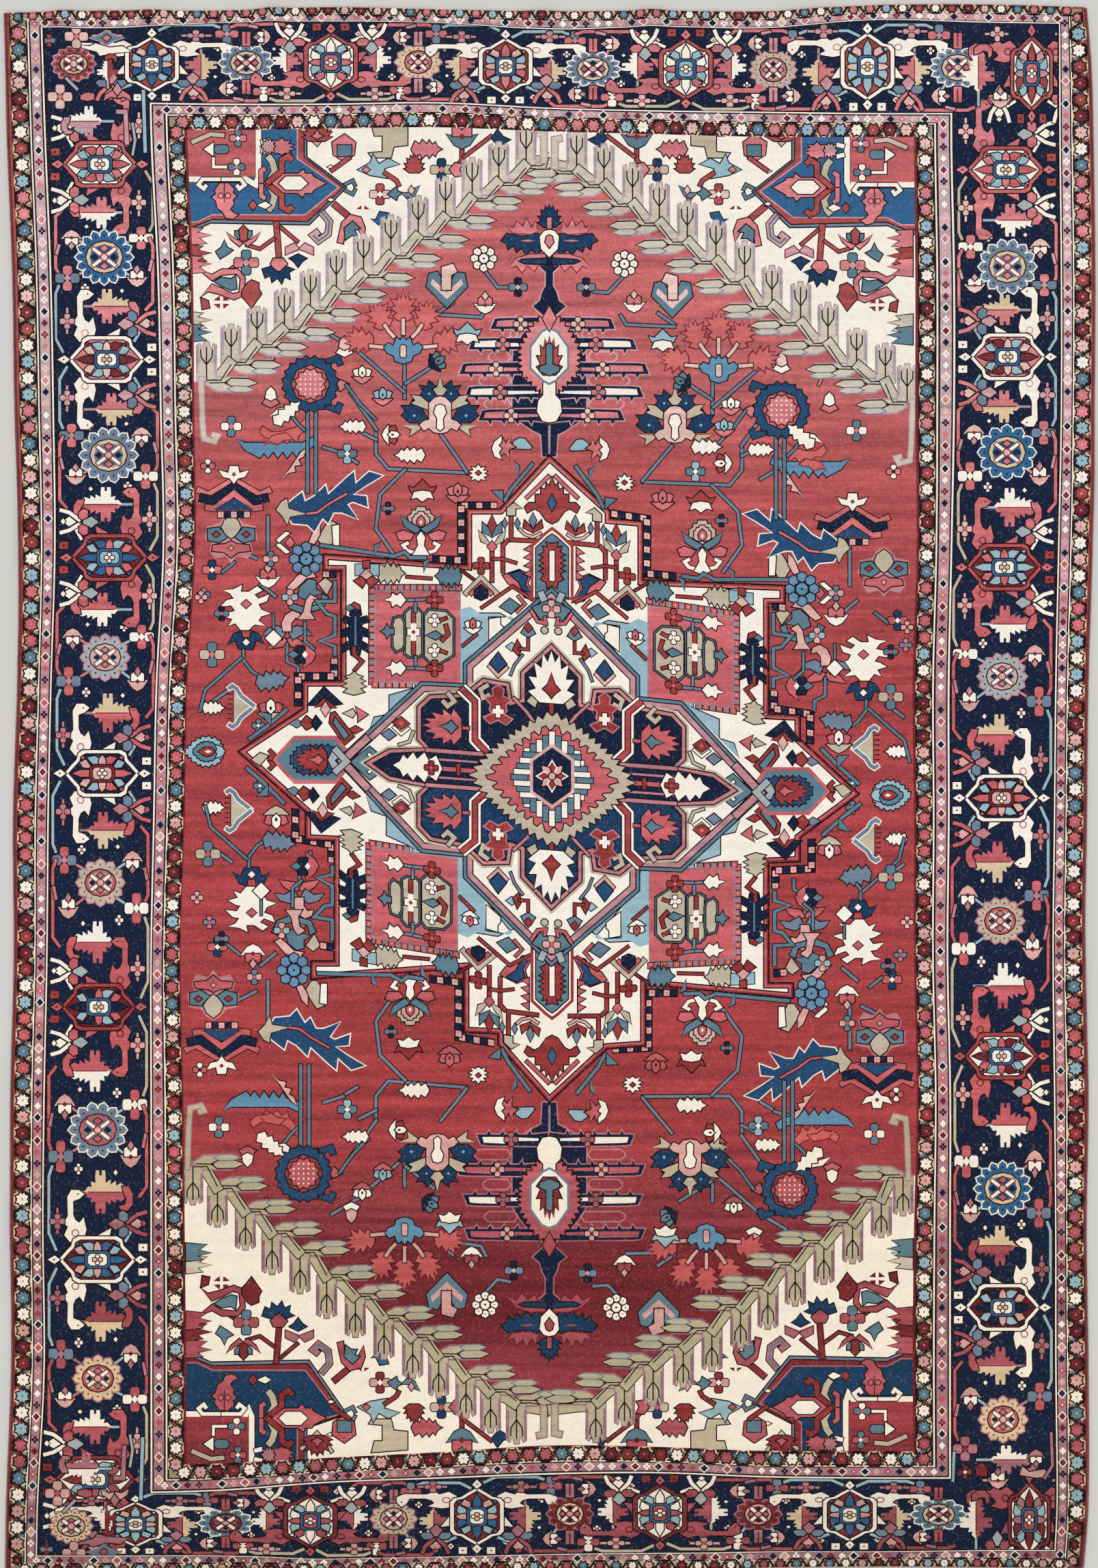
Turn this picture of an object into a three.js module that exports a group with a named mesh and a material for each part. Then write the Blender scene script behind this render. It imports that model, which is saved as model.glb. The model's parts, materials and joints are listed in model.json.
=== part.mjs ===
// A hand-knotted wool rug lying flat on a floor: the knotted cloth, an overcast selvage cord down each
// side, and the worn strip of warp ends left at each end. Millimetres, +Z up, +Y towards the end that
// shows a full meander band. The origin is on the floor under the middle of the rug.
import * as THREE from 'three';

const halfWidth = 1441;     // half of the widest place, selvages included
const halfLength = 2076;    // half of the longest place, warp ends included
const clothThick = 8;       // pile and foundation of a worn old rug
const cordWide = 8;         // selvage cord: the side warps wrapped in wool
const cordHigh = 8.5;
const stripWide = 4;        // warp ends held by the last rows of weft
const stripThick = 3;
const tuftLong = 5.5;       // longest of the tufts that stand out from that strip
const tuftsPerEnd = 72;
const gap = 0.3;            // between pieces that meet

// How far the side edges stand in from the half width, for each place along the length
const sideRows = [
  { y: -2076, left: 4, right: 32 },
  { y: -1882, left: 7, right: 18 },
  { y: -1522, left: 20, right: 18 },
  { y: -1162, left: 18, right: 23 },
  { y: -802, left: 18, right: 18 },
  { y: -442, left: 27, right: 27 },
  { y: -82, left: 25, right: 22 },
  { y: 278, left: 36, right: 18 },
  { y: 638, left: 40, right: 7 },
  { y: 998, left: 29, right: 2 },
  { y: 1358, left: 23, right: 0 },
  { y: 1718, left: 9, right: 5 },
  { y: 1900, left: 5, right: 10 },
  { y: 2076, left: 0, right: 24 },
];

// How far the two ends stand in from the half length, for each place across the width
const endRows = [
  { x: -1441, top: 22, bottom: 0 },
  { x: -1160, top: 16, bottom: 0 },
  { x: -872, top: 16, bottom: 2 },
  { x: -584, top: 7, bottom: 4 },
  { x: -296, top: 13, bottom: 4 },
  { x: 0, top: 18, bottom: 7 },
  { x: 280, top: 16, bottom: 9 },
  { x: 568, top: 18, bottom: 13 },
  { x: 856, top: 2, bottom: 16 },
  { x: 1144, top: 0, bottom: 14 },
  { x: 1441, top: 8, bottom: 11 },
];

// Low waves where the cloth lies slack at an edge: at is the place along that edge, half the half
// width of the wave, reach how far it runs in from the edge, rise its height at the edge
const waves = [
  { edge: 'top', at: -1281, half: 62, reach: 130, rise: 12 },
  { edge: 'top', at: -1047, half: 72, reach: 120, rise: 10 },
  { edge: 'top', at: -733, half: 58, reach: 150, rise: 13 },
  { edge: 'top', at: -21, half: 62, reach: 110, rise: 10 },
  { edge: 'top', at: 267, half: 68, reach: 150, rise: 14 },
  { edge: 'top', at: 700, half: 120, reach: 100, rise: 6 },
  { edge: 'bottom', at: -620, half: 150, reach: 140, rise: 8 },
  { edge: 'bottom', at: 430, half: 170, reach: 120, rise: 7 },
  { edge: 'left', at: 640, half: 210, reach: 120, rise: 8 },
  { edge: 'left', at: -1160, half: 190, reach: 100, rise: 6 },
  { edge: 'right', at: 820, half: 190, reach: 110, rise: 7 },
  { edge: 'right', at: -500, half: 220, reach: 120, rise: 8 },
];

// A column of a table read smoothly between its rows
function read(rows, key, at, column) {
  let i = 0;
  while (i < rows.length - 2 && at > rows[i + 1][key]) i += 1;
  const [before, a, b, after] = [rows[Math.max(i - 1, 0)], rows[i], rows[i + 1], rows[Math.min(i + 2, rows.length - 1)]];
  const span = b[key] - a[key];
  const t = THREE.MathUtils.clamp((at - a[key]) / span, 0, 1);
  const slopeA = (b[column] - before[column]) / (b[key] - before[key]) * span;
  const slopeB = (after[column] - a[column]) / (after[key] - a[key]) * span;
  const rise = b[column] - a[column];
  return a[column] + t * slopeA + t * t * (3 * rise - 2 * slopeA - slopeB) + t * t * t * (slopeA + slopeB - 2 * rise);
}

const sideX = (side, y) => side * (halfWidth - read(sideRows, 'y', y, side < 0 ? 'left' : 'right'));
const endY = (end, x) => end * (halfLength - read(endRows, 'x', x, end < 0 ? 'bottom' : 'top'));

// How high the cloth is lifted off the floor at a place
function lift(x, y) {
  const inward = {
    top: halfLength - y, bottom: halfLength + y, left: halfWidth + x, right: halfWidth - x,
  };
  let height = 0;
  for (const wave of waves) {
    const along = wave.edge === 'top' || wave.edge === 'bottom' ? x : y;
    const across = Math.abs(along - wave.at) / wave.half;
    const deep = Math.max(inward[wave.edge], 0) / wave.reach;
    if (across < 1 && deep < 1) {
      height += wave.rise * (1 + Math.cos(Math.PI * across)) / 2 * Math.cos(Math.PI / 2 * deep) ** 2;
    }
  }
  return height;
}

// Collects points and faces of one closed solid
class Solid {
  constructor() {
    this.points = [];
    this.faces = [];
  }

  point(x, y, z) {
    this.points.push(x, y, z + lift(x, y));
    return this.points.length / 3 - 1;
  }

  tri(a, b, c) {
    this.faces.push(a, b, c);
  }

  quad(a, b, c, d) {
    this.faces.push(a, b, c, a, c, d);
  }

  geometry() {
    const geometry = new THREE.BufferGeometry();
    geometry.setAttribute('position', new THREE.Float32BufferAttribute(this.points, 3));
    geometry.setIndex(this.faces);
    const flat = geometry.toNonIndexed();
    flat.computeVertexNormals();
    return flat;
  }
}

// A place on the cloth: u from the left edge to the right, v from the bottom end to the top
function clothPlace(u, v) {
  const inset = cordWide + gap;
  const endInset = stripWide + tuftLong + gap;
  const guessX = halfWidth * (2 * u - 1);
  const low = endY(-1, guessX) + endInset;
  const high = endY(1, guessX) - endInset;
  const y = low + (high - low) * v;
  const left = sideX(-1, y) + inset;
  const right = sideX(1, y) - inset;
  return [left + (right - left) * u, y];
}

// Steps across the width: close together near both sides, where the cloth is lifted
function acrossSteps(count) {
  if (count > 0) return Array.from({ length: count + 1 }, (_, i) => i / count);
  const half = [0, 0.016, 0.035, 0.06, 0.16, 0.32, 0.5];
  return [...half, ...half.slice(0, -1).reverse().map((u) => 1 - u)];
}

// The rows of the cloth, from the bottom end to the top: v is the place along, count the steps across
function clothRows() {
  const length = 2 * halfLength;
  const rows = [];
  for (const inMm of [0, 35, 75]) rows.push({ v: inMm / length, count: 40 });
  const step = 105;
  for (let y = 140; y < length - 170; y += step) rows.push({ v: y / length, count: 0 });
  for (const inMm of [160, 112, 72, 38, 0]) rows.push({ v: 1 - inMm / length, count: 104 });
  return rows;
}

// The knotted cloth: one slab of even thickness, its underside lifted with its face
function cloth() {
  const solid = new Solid();
  const rows = clothRows().map(({ v, count }) => acrossSteps(count).map((u) => {
    const [x, y] = clothPlace(u, v);
    return { u, under: solid.point(x, y, 0), face: solid.point(x, y, clothThick) };
  }));
  // Two neighbouring rows are joined step by step, so each may have its own number of points
  const join = (low, high) => {
    let [i, j] = [0, 0];
    while (i < low.length - 1 || j < high.length - 1) {
      const lowFirst = j === high.length - 1 || (i < low.length - 1 && low[i + 1].u <= high[j + 1].u);
      const [a, b] = [low[i], high[j]];
      const next = lowFirst ? low[i + 1] : high[j + 1];
      solid.tri(a.face, next.face, b.face);
      solid.tri(a.under, b.under, next.under);
      if (lowFirst) i += 1;
      else j += 1;
    }
    const [lowEnd, highEnd] = [low[low.length - 1], high[high.length - 1]];
    solid.quad(low[0].under, low[0].face, high[0].face, high[0].under);
    solid.quad(lowEnd.under, highEnd.under, highEnd.face, lowEnd.face);
  };
  for (let i = 0; i < rows.length - 1; i += 1) join(rows[i], rows[i + 1]);
  const [first, last] = [rows[0], rows[rows.length - 1]];
  for (let i = 0; i < first.length - 1; i += 1) {
    solid.quad(first[i].under, first[i + 1].under, first[i + 1].face, first[i].face);
  }
  for (let i = 0; i < last.length - 1; i += 1) {
    solid.quad(last[i].under, last[i].face, last[i + 1].face, last[i + 1].under);
  }
  return solid.geometry();
}

// The selvage of one side: an eight-sided cord beside the cloth's edge
function selvage(side) {
  const solid = new Solid();
  const corners = 8;
  const rings = clothRows().map(({ v }) => {
    const [, y] = clothPlace(side < 0 ? 0 : 1, v);
    const middle = sideX(side, y) - side * cordWide / 2;
    return Array.from({ length: corners }, (_, i) => {
      const turn = (i + 0.5) / corners * 2 * Math.PI;
      const across = Math.cos(turn) * cordWide / 2 / Math.cos(Math.PI / corners);
      const up = Math.sin(turn) * cordHigh / 2 / Math.cos(Math.PI / corners);
      return solid.point(middle + across, y, cordHigh / 2 + up);
    });
  });
  for (let r = 0; r < rings.length - 1; r += 1) {
    for (let i = 0; i < corners; i += 1) {
      const next = (i + 1) % corners;
      solid.quad(rings[r][i], rings[r + 1][i], rings[r + 1][next], rings[r][next]);
    }
  }
  const [first, last] = [rings[0], rings[rings.length - 1]];
  for (let i = 1; i < corners - 1; i += 1) {
    solid.tri(first[0], first[i], first[i + 1]);
    solid.tri(last[0], last[i + 1], last[i]);
  }
  return solid.geometry();
}

// The strip of warp ends across one end, with short uneven tufts on its outer edge
function endStrip(end) {
  const solid = new Solid();
  const v = end < 0 ? 0 : 1;
  const stations = tuftsPerEnd * 2 + 1;
  const tuftShape = [0.9, 0.45, 1, 0.7, 0.35, 0.85, 0.6];
  const rings = Array.from({ length: stations }, (_, i) => {
    const [x, edge] = clothPlace(i / (stations - 1), v);
    const inner = edge + end * gap;
    const outer = inner + end * stripWide;
    return {
      x, outer,
      corners: [solid.point(x, inner, 0), solid.point(x, outer, 0),
        solid.point(x, outer, stripThick), solid.point(x, inner, stripThick)],
    };
  });
  // Faces turn the other way round on the bottom end, which is the mirror of the top
  const face = (a, b, c, d) => (end > 0 ? solid.quad(a, b, c, d) : solid.quad(d, c, b, a));
  const corner = (a, b, c) => (end > 0 ? solid.tri(a, b, c) : solid.tri(c, b, a));
  rings.slice(0, -1).forEach((ring, i) => {
    const [a, b] = [ring.corners, rings[i + 1].corners];
    face(a[0], a[1], b[1], b[0]);
    face(a[2], a[3], b[3], b[2]);
    face(a[3], a[0], b[0], b[3]);
    if (i % 2 === 0) {
      face(a[1], a[2], b[2], b[1]);
      return;
    }
    const x = (ring.x + rings[i + 1].x) / 2;
    const y = ring.outer + end * tuftLong * tuftShape[i % tuftShape.length];
    const [low, high] = [solid.point(x, y, 0), solid.point(x, y, stripThick * 0.7)];
    corner(a[1], low, b[1]);
    corner(a[2], b[2], high);
    face(a[1], a[2], high, low);
    face(low, high, b[2], b[1]);
  });
  const [first, last] = [rings[0].corners, rings[rings.length - 1].corners];
  face(first[0], first[3], first[2], first[1]);
  face(last[0], last[1], last[2], last[3]);
  return solid.geometry();
}

const wool = new THREE.MeshStandardMaterial({ color: '#96463f', roughness: 0.95, metalness: 0 });
const selvageWool = new THREE.MeshStandardMaterial({ color: '#7d3a3c', roughness: 0.95, metalness: 0 });
const warpCotton = new THREE.MeshStandardMaterial({ color: '#d9cfc6', roughness: 0.95, metalness: 0 });

const rug = new THREE.Group();

function add(name, geometry, material) {
  const mesh = new THREE.Mesh(geometry, material);
  mesh.name = name;
  rug.add(mesh);
}

add('rug_body', cloth(), wool);
add('selvage_left', selvage(-1), selvageWool);
add('selvage_right', selvage(1), selvageWool);
add('end_strip_top', endStrip(1), warpCotton);
add('end_strip_bottom', endStrip(-1), warpCotton);

export default rug;
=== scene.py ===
import json
import math

import bpy
import numpy as np
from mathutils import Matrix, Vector
from mathutils.geometry import delaunay_2d_cdt

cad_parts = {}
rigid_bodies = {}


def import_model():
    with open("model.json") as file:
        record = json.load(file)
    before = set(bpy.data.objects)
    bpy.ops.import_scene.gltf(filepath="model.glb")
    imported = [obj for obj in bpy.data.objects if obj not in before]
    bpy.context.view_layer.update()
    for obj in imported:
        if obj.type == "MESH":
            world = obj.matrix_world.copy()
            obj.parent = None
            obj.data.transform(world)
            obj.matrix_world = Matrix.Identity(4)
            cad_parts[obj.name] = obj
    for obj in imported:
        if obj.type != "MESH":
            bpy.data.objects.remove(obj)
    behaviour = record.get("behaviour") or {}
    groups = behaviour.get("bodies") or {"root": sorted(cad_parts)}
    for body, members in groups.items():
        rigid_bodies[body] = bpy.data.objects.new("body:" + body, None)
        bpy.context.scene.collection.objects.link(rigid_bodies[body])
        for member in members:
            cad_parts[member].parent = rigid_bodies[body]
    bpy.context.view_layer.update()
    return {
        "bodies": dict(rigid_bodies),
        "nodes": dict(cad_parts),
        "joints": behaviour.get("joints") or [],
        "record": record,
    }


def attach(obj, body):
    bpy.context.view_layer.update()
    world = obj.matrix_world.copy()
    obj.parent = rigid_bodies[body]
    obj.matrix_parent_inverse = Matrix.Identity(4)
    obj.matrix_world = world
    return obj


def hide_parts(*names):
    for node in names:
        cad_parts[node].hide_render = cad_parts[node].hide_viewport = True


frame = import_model()

# A hand-knotted room-size carpet. Its pattern is drawn in knots from the middle of the rug, x to the
# right and y towards the far end, as on a weaver's chart, and each drawn form becomes faces of the pile.
rug = {
    "knot": 0.0036,          # metres from knot to knot, about 50 to the square inch
    "thick": 0.008,          # pile and foundation
    "selvageWide": 0.008,
    "endStrip": 0.0098,      # warp ends beyond the pile
    "halfWidth": 1.441,
    "halfLength": 2.076,
}
knot = rug["knot"]

# Dyes of the wool as sRGB hex, and how much each one shows the streaks of its dye lots
dyes = {
    "ink": ("#1d1114", 0.1), "navy": ("#14203a", 0.2), "deepBlue": ("#1b3a5c", 0.4),
    "sea": ("#24486e", 0.4), "royal": ("#32608a", 0.45), "azure": ("#5f8cab", 0.45),
    "steel": ("#5b7a8a", 0.4), "slate": ("#6d7f93", 0.4), "grey": ("#a3aaad", 0.3),
    "sky": ("#93b3bf", 0.35), "red": ("#b54a4d", 1), "brick": ("#a03c3c", 0.9),
    "blush": ("#c8605f", 0.62), "coral": ("#cd676c", 0.85), "wine": ("#74262e", 0.75),
    "rose": ("#c58288", 0.8), "pink": ("#ddaaa4", 0.65), "mauve": ("#a8808a", 0.8),
    "guard": ("#c28d93", 0.8), "ivory": ("#f2e9dd", 0.12), "camel": ("#bdb09b", 0.4),
    "plume": ("#c9bead", 0.45), "moss": ("#b3a98f", 0.45), "sand": ("#d6bd9c", 0.3),
    "olive": ("#9a8870", 0.4), "back": ("#8d5a52", 0.2),
}


def linear(code):   # sRGB hex to the linear colour that shaders take
    parts = [int(code[i:i + 2], 16) / 255 for i in (1, 3, 5)]
    return [p / 12.92 if p <= 0.04045 else ((p + 0.055) / 1.055) ** 2.4 for p in parts]


# How far each side edge stands in from the half width, in mm, at each place along the rug
sideRows = [   # y, left, right
    (-2076, 4, 32), (-1882, 7, 18), (-1522, 20, 18), (-1162, 18, 23), (-802, 18, 18), (-442, 27, 27),
    (-82, 25, 22), (278, 36, 18), (638, 40, 7), (998, 29, 2), (1358, 23, 0), (1718, 9, 5), (1900, 5, 10),
    (2076, 0, 24),
]
endRows = [   # x, top, bottom
    (-1441, 22, 0), (-1160, 16, 0), (-872, 16, 2), (-584, 7, 4), (-296, 13, 4), (0, 18, 7), (280, 16, 9),
    (568, 18, 13), (856, 2, 16), (1144, 0, 14), (1441, 8, 11),
]
waves = [   # edge, place along it, half width, reach inwards and rise of each slack wave, in mm
    ("top", -1281, 62, 130, 12), ("top", -1047, 72, 120, 10), ("top", -733, 58, 150, 13),
    ("top", -21, 62, 110, 10), ("top", 267, 68, 150, 14), ("top", 700, 120, 100, 6),
    ("bottom", -620, 150, 140, 8), ("bottom", 430, 170, 120, 7), ("left", 640, 210, 120, 8),
    ("left", -1160, 190, 100, 6), ("right", 820, 190, 110, 7), ("right", -500, 220, 120, 8),
]


def read(rows, at, column):   # a column of a table, read smoothly between its rows
    i = 0
    while i < len(rows) - 2 and at > rows[i + 1][0]:
        i += 1
    before, a, b, after = rows[max(i - 1, 0)], rows[i], rows[i + 1], rows[min(i + 2, len(rows) - 1)]
    span = b[0] - a[0]
    t = min(max((at - a[0]) / span, 0), 1)
    slopeA = (b[column] - before[column]) / (b[0] - before[0]) * span
    slopeB = (after[column] - a[column]) / (after[0] - a[0]) * span
    rise = b[column] - a[column]
    bend = 3 * rise - 2 * slopeA - slopeB
    return a[column] + t * slopeA + t * t * bend + t ** 3 * (slopeA + slopeB - 2 * rise)


def sideX(side, y):   # the outermost edge in metres
    return side * (rug["halfWidth"] - read(sideRows, y * 1000, 1 if side < 0 else 2) / 1000)


def endY(end, x):
    return end * (rug["halfLength"] - read(endRows, x * 1000, 2 if end < 0 else 1) / 1000)


def lift(x, y):   # how high the cloth stands off the floor there, in metres, for arrays of places
    inward = {"top": rug["halfLength"] - y, "bottom": rug["halfLength"] + y,
        "left": rug["halfWidth"] + x, "right": rug["halfWidth"] - x}
    height = np.zeros(np.broadcast(x, y).shape)
    for edge, at, half, reach, rise in waves:
        along = x if edge in ("top", "bottom") else y
        across = np.minimum(np.abs(along - at / 1000) / (half / 1000), 1)
        deep = np.minimum(np.maximum(inward[edge], 0) / (reach / 1000), 1)
        height = height + rise / 1000 * (1 + np.cos(math.pi * across)) / 2 * np.cos(math.pi / 2 * deep) ** 2
    return height


# The drawn lines that part the borders, in knots from the middle: the outer and inner edges of the navy
# main border, and the edge of the field. The weaver let them drift.
sideLines = [   # y, then outer, inner and field on the left, then on the right
    (-567, 374, 294, 267, 368, 295, 267), (-523, 373, 293, 266, 370, 295, 267),
    (-423, 368, 293, 266, 369, 295, 266), (-323, 369, 293, 267, 369, 295, 267),
    (-223, 368, 293, 268, 368, 295, 269), (-123, 366, 293, 270, 367, 293, 267),
    (-23, 365, 291, 267, 368, 294, 267), (77, 363, 289, 265, 369, 294, 266),
    (177, 360, 284, 259, 371, 296, 269), (277, 361, 286, 260, 373, 298, 268),
    (377, 363, 288, 261, 373, 298, 268), (477, 367, 293, 265, 372, 296, 267),
    (567, 370, 294, 267, 372, 297, 268),
]
endLines = [   # x, then outer, inner and field at the top, then at the bottom
    (-392, 557, 503, 483, 561, 518, 498), (-322, 556, 503, 483, 561, 517, 496),
    (-242, 560, 502, 482, 561, 515, 494), (-162, 561, 502, 483, 563, 509, 490),
    (-82, 560, 503, 484, 562, 506, 486), (0, 555, 499, 481, 560, 503, 481),
    (78, 557, 497, 479, 559, 502, 482), (158, 556, 496, 477, 558, 505, 485),
    (238, 562, 495, 477, 558, 506, 485), (318, 560, 495, 477, 557, 506, 486),
    (392, 559, 495, 477, 557, 507, 487),
]
lineColumns = {"outer": 1, "inner": 2, "field": 3}


def edgeX(side, y):   # the edge of the pile, in knots
    return (sideX(side, y * knot) - side * (rug["selvageWide"] + 0.0003)) / knot


def edgeY(end, x):
    return (endY(end, x * knot) - end * rug["endStrip"]) / knot


def sideLine(side, y, line):
    if line == "edge":
        return edgeX(side, y)
    return side * read(sideLines, y, lineColumns[line] + (0 if side < 0 else 3))


def endLine(end, x, line):
    if line == "edge":
        return edgeY(end, x)
    return end * read(endLines, x, lineColumns[line] + (0 if end > 0 else 3))


def at(text):   # an outline from its corners, written "x,y x,y"
    if isinstance(text, str):
        return [tuple(map(float, corner.split(","))) for corner in text.split()]
    return text


def between(a, b, t):
    return a + (b - a) * t


def ring(lineA, lineB="", partSide=0.0, partEnd=0.0, step=9):   # a closed line round the rug, anticlockwise
    lineB = lineB or lineA

    def xAt(side, y):
        return between(sideLine(side, y, lineA), sideLine(side, y, lineB), partSide)

    def yAt(end, x):
        return between(endLine(end, x, lineA), endLine(end, x, lineB), partEnd)

    def corner(side, end):
        x, y = side * 330, end * 520
        for _ in range(6):
            x, y = xAt(side, y), yAt(end, x)
        return x, y

    def run(start, stop, onSide, sign):
        (x0, y0), (x1, y1) = start, stop
        count = max(int(math.hypot(x1 - x0, y1 - y0) / step), 2)
        points = []
        for i in range(count):
            t = i / count
            if onSide:
                y = between(y0, y1, t)
                points.append((xAt(sign, y), y) if i else start)
            else:
                x = between(x0, x1, t)
                points.append((x, yAt(sign, x)) if i else start)
        return points

    lowLeft, lowRight, highRight, highLeft = corner(-1, -1), corner(1, -1), corner(1, 1), corner(-1, 1)
    return (run(lowLeft, lowRight, False, -1) + run(lowRight, highRight, True, 1)
        + run(highRight, highLeft, False, 1) + run(highLeft, lowLeft, True, -1))


def grown(points, edge):   # the same outline, moved outwards by edge
    p = np.asarray(points, float)
    p = p[np.linalg.norm(p - np.roll(p, 1, 0), axis=1) > 1e-4]
    x, y = p.T
    if np.sum(x * np.roll(y, -1) - y * np.roll(x, -1)) < 0:
        p = p[::-1]
    along = np.roll(p, -1, 0) - p
    along /= np.linalg.norm(along, axis=1)[:, None]
    after = np.stack([along[:, 1], -along[:, 0]], 1)
    before = np.roll(after, 1, 0)
    corner = np.maximum(1 + np.sum(before * after, 1), 0.45)[:, None]
    return p + edge * (before + after) / corner


def ribbon(points, width, closed=False):   # an outline of even width along a line of points
    p = np.asarray(points, float)
    along = (np.roll(p, -1, 0) - p) if closed else np.diff(p, axis=0)
    along /= np.linalg.norm(along, axis=1)[:, None]
    normal = np.stack([along[:, 1], -along[:, 0]], 1)
    if closed:
        before, after = np.roll(normal, 1, 0), normal
    else:
        before, after = np.vstack([normal[:1], normal]), np.vstack([normal, normal[-1:]])
    side = (before + after) / np.maximum(1 + np.sum(before * after, 1), 0.45)[:, None] * width / 2
    return p + side, p - side


class Chart:   # the weaver's drawing of one zone: forms laid one over another
    def __init__(self, ground):
        self.shapes = []
        self.ground = ground
        self.matrix = np.eye(2)
        self.shift = np.zeros(2)

    def within(self, x=0, y=0, turn=0, sx=1, sy=1, lean=0):   # the same drawing, from a place on it
        part = Chart(self.ground)
        part.shapes = self.shapes
        c, s = math.cos(math.radians(turn)), math.sin(math.radians(turn))
        leaning, turning = np.array([[1, 0], [lean, 1]]), np.array([[c, -s], [s, c]])
        part.matrix = self.matrix @ leaning @ turning @ np.diag([sx, sy])
        part.shift = self.put([(x, y)])[0]
        return part

    def put(self, points):
        return np.asarray(at(points), float) @ self.matrix.T + self.shift

    def side(self, sx, sy=1):   # the same drawing, mirrored or stretched
        return self.within(0, 0, 0, sx, sy)

    def fill(self, points, dye):
        self.shapes.append((self.put(points), dye))

    def form(self, points, dye, line="ink", edge=0.9):   # a form with its drawn outline
        placed = self.put(points)
        if line:
            self.shapes.append((grown(placed, edge), line))
        self.shapes.append((placed, dye))

    def band(self, points, width, dye, line="ink", edge=0.75):
        left, right = ribbon(self.put(points), width)
        outline = np.vstack([left, right[::-1]])
        if line:
            self.shapes.append((grown(outline, edge), line))
        self.shapes.append((outline, dye))

    def disc(self, x, y, r, dye, line="ink", edge=0.9, sides=8, squash=1.0):
        angles = [2 * math.pi * i / sides + math.pi / sides for i in range(sides)]
        self.form([(x + r * math.cos(a), y + squash * r * math.sin(a)) for a in angles], dye, line, edge)

    def gem(self, x, y, w, h, dye, line="ink", edge=0.75):   # a diamond
        self.within(x, y, 0, w, h).form("-1,0 0,-1 1,0 0,1", dye, line, edge)

    # a box with cut corners, by its half sizes
    def block(self, x, y, w, h, dye, line="ink", cut=0.0, edge=0.75):
        left, right, low, high = x - w, x + w, y - h, y + h
        corners = [(left, low), (right, low), (right, high), (left, high)]
        if cut:
            corners = [(left, low + cut), (left + cut, low), (right - cut, low), (right, low + cut),
                (right, high - cut), (right - cut, high), (left + cut, high), (left, high - cut)]
        self.form(corners, dye, line, edge)


def inside(polygon, x, y):   # winding test for many places at once
    x0, y0 = polygon[:, 0], polygon[:, 1]
    x1, y1 = np.roll(x0, -1), np.roll(y0, -1)
    wind = np.zeros(len(x), int)
    chunk = max(int(4e6 / len(polygon)), 1)
    for start in range(0, len(x), chunk):
        px, py = x[start:start + chunk, None], y[start:start + chunk, None]
        left = (x1 - x0) * (py - y0) - (px - x0) * (y1 - y0)
        up = (y0 <= py) & (y1 > py) & (left > 0)
        down = (y0 > py) & (y1 <= py) & (left < 0)
        wind[start:start + chunk] = up.sum(1) - down.sum(1)
    return wind != 0


cellSize = 16   # knots, of the squares in which faces are looked up


def grid(low, high, spacing):   # loose points that keep the faces from growing long
    xs = np.arange(low[0] + spacing / 2, high[0], spacing)
    ys = np.arange(low[1] + spacing / 2, high[1], spacing)
    return [Vector((x, y)) for x in xs for y in ys]


def facesInside(verts, faces, loops):   # the faces between the outer loop and the holes, looking up
    middle = verts[faces].mean(1)
    keep = inside(loops[0], *middle.T)
    for hole in loops[1:]:
        keep &= ~inside(hole, *middle.T)
    faces, middle = faces[keep], middle[keep]
    a, b, c = (verts[faces[:, i]] for i in range(3))
    area = (b[:, 0] - a[:, 0]) * (c[:, 1] - a[:, 1]) - (b[:, 1] - a[:, 1]) * (c[:, 0] - a[:, 0])
    faces[area < 0] = faces[area < 0][:, ::-1]
    return faces, middle


def patternFaces(loops, shapes, spacing):   # every drawn line becomes an edge of the faces
    points, edges = [], []
    for polygon in loops + [s[0] for s in shapes]:
        first = len(points)
        points.extend(map(Vector, polygon.tolist()))
        edges.extend((first + i, first + (i + 1) % len(polygon)) for i in range(len(polygon)))
    points += grid(loops[0].min(0), loops[0].max(0), spacing)
    verts, _, faces, *_ = delaunay_2d_cdt(points, edges, [], 0, 0.02, False)
    verts = np.array([v[:] for v in verts])
    return verts, *facesInside(verts, np.array(faces), loops)


def underFaces(verts, rim, rimVerts, loops):   # the underside has the same rim and few faces
    local = {int(v): i for i, v in enumerate(rimVerts)}
    points = [Vector(verts[v]) for v in rimVerts] + grid(verts.min(0), verts.max(0), 30)
    rimEdges = [(local[int(a)], local[int(b)]) for a, b in rim]
    flat, _, faces, origins, *_ = delaunay_2d_cdt(points, rimEdges, [], 0, 1e-5, True)
    flat = np.array([v[:] for v in flat])
    faces = facesInside(flat, np.array(faces), loops)[0][:, ::-1]
    number, extra = {}, []
    for i, sources in enumerate(origins):
        onRim = [s for s in sources if s < len(rimVerts)]
        if onRim:
            number[i] = len(verts) + onRim[0]
        elif i in faces:
            number[i] = len(verts) + len(rimVerts) + len(extra)
            extra.append(flat[i])
    return [[number[int(i)] for i in face] for face in faces], extra


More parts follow.
